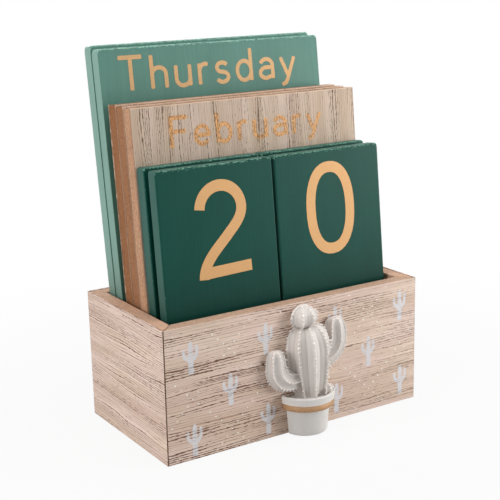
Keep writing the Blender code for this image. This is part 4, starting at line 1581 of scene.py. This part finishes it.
class CALENDAR_OT_studio(bpy.types.Operator):
    """White floor, soft lamps and the camera"""
    bl_idname = "calendar.studio"
    bl_label = "Studio"

    def execute(self, context):
        studio = context.scene.calendar_studio
        self.floor()
        self.daylight(context.scene, studio.daylight)
        middle = (0.0, 0.0, 0.07)
        lamp("key lamp", studio.key, 0.22, (0.52, -0.46, 0.15), middle)
        lamp("side lamp", studio.side, 0.20, (0.46, -0.26, 0.34), middle)
        lamp("left lamp", studio.fill, 0.6, (-1.0, -0.10, 0.45), middle)
        lamp("top lamp", studio.top, 0.8, (0.0, 0.0, 1.1), middle)
        lamp("back lamp", studio.back, 0.6, (0.30, 1.1, 0.35), middle)
        self.camera(context.scene, studio)
        context.scene.view_settings.view_transform = "Standard"
        return {"FINISHED"}

    @staticmethod
    def floor():
        half = 4.0
        mesh = bpy.data.meshes.new("floor")
        mesh.from_pydata([(-half, -half, 0), (half, -half, 0), (half, half, 0), (-half, half, 0)],
                         [], [(0, 1, 2, 3)])
        finish = Finish("floor_finish")
        shade = finish.node("ShaderNodeBsdfDiffuse", None, {"Color": (0.55, 0.55, 0.55, 1.0)})
        glow = finish.node("ShaderNodeEmission", None,
                           {"Color": (1.0, 1.0, 1.0, 1.0), "Strength": 1.0})
        away = finish.node("ShaderNodeVectorMath", {"operation": "LENGTH"}, {0: finish.place},
                           output="Value")
        whitened = away.rising(90, 300) * 0.09 + 0.91
        white = finish.node("ShaderNodeMixShader", None,
                            {0: seen_directly(finish) * whitened, 1: shade, 2: glow})
        finish.node("ShaderNodeOutputMaterial", None, {"Surface": white})
        mesh.materials.append(finish.material)
        floor = bpy.data.objects.new("floor", mesh)
        bpy.context.scene.collection.objects.link(floor)

    @staticmethod
    def daylight(scene, strength):
        world = bpy.data.worlds.new("studio")
        world.use_nodes = True
        graph = Graph(world.node_tree)
        graph.tree.nodes.clear()
        plain = {"Color": (1.0, 1.0, 1.0, 1.0)}
        light = graph.node("ShaderNodeBackground", None, {**plain, "Strength": strength})
        white = graph.node("ShaderNodeBackground", None, {**plain, "Strength": 1.0})
        sky = graph.node("ShaderNodeMixShader", None,
                         {0: seen_directly(graph), 1: light, 2: white})
        graph.node("ShaderNodeOutputWorld", None, {"Surface": sky})
        scene.world = world

    @staticmethod
    def camera(scene, studio):
        eye = bpy.data.cameras.new("camera")
        eye.sensor_width = 36.0
        eye.lens = studio.lens
        eye.shift_x = -0.0002
        eye.shift_y = -0.0029
        eye.clip_start = 0.01
        eye.clip_end = 20.0
        holder = bpy.data.objects.new("camera", eye)
        scene.collection.objects.link(holder)
        aim = (Matrix.Rotation(studio.view_turn, 4, "Z")
               @ Matrix.Rotation(math.radians(90) - studio.view_tilt, 4, "X")
               @ Matrix.Rotation(studio.view_roll, 4, "Z"))
        holder.matrix_world = Matrix.Translation(studio.view_place) @ aim
        scene.camera = holder


class CALENDAR_PT_panel(bpy.types.Panel):
    """Steps that finish the desk calendar"""
    bl_idname = "CALENDAR_PT_panel"
    bl_label = "Desk Calendar"
    bl_space_type = "VIEW_3D"
    bl_region_type = "UI"
    bl_category = "Desk Calendar"

    def draw(self, context):
        for operator in OPERATORS:
            self.layout.operator(operator.bl_idname)
        for group in (context.scene.calendar_colours, context.scene.calendar_sizes,
                      context.scene.calendar_studio):
            column = self.layout.column()
            for name in group.bl_rna.properties.keys():
                if name not in ("rna_type", "name"):
                    column.prop(group, name)


OPERATORS = (CALENDAR_OT_studio, CALENDAR_OT_box, CALENDAR_OT_prints, CALENDAR_OT_weekday_cards,
             CALENDAR_OT_month_cards, CALENDAR_OT_number_cards, CALENDAR_OT_casting)
CLASSES = (CalendarColours, CalendarSizes, CalendarStudio, *OPERATORS, CALENDAR_PT_panel)


def register():
    for each in CLASSES:
        bpy.utils.register_class(each)
    bpy.types.Scene.calendar_colours = bpy.props.PointerProperty(type=CalendarColours)
    bpy.types.Scene.calendar_sizes = bpy.props.PointerProperty(type=CalendarSizes)
    bpy.types.Scene.calendar_studio = bpy.props.PointerProperty(type=CalendarStudio)


def unregister():
    del bpy.types.Scene.calendar_studio
    del bpy.types.Scene.calendar_sizes
    del bpy.types.Scene.calendar_colours
    for each in reversed(CLASSES):
        bpy.utils.unregister_class(each)


def main():
    register()
    bpy.ops.calendar.studio()
    bpy.ops.calendar.box()
    bpy.ops.calendar.prints()
    bpy.ops.calendar.weekday_cards()
    bpy.ops.calendar.month_cards()
    bpy.ops.calendar.number_cards()
    bpy.ops.calendar.casting()


if __name__ == "__main__":
    main()
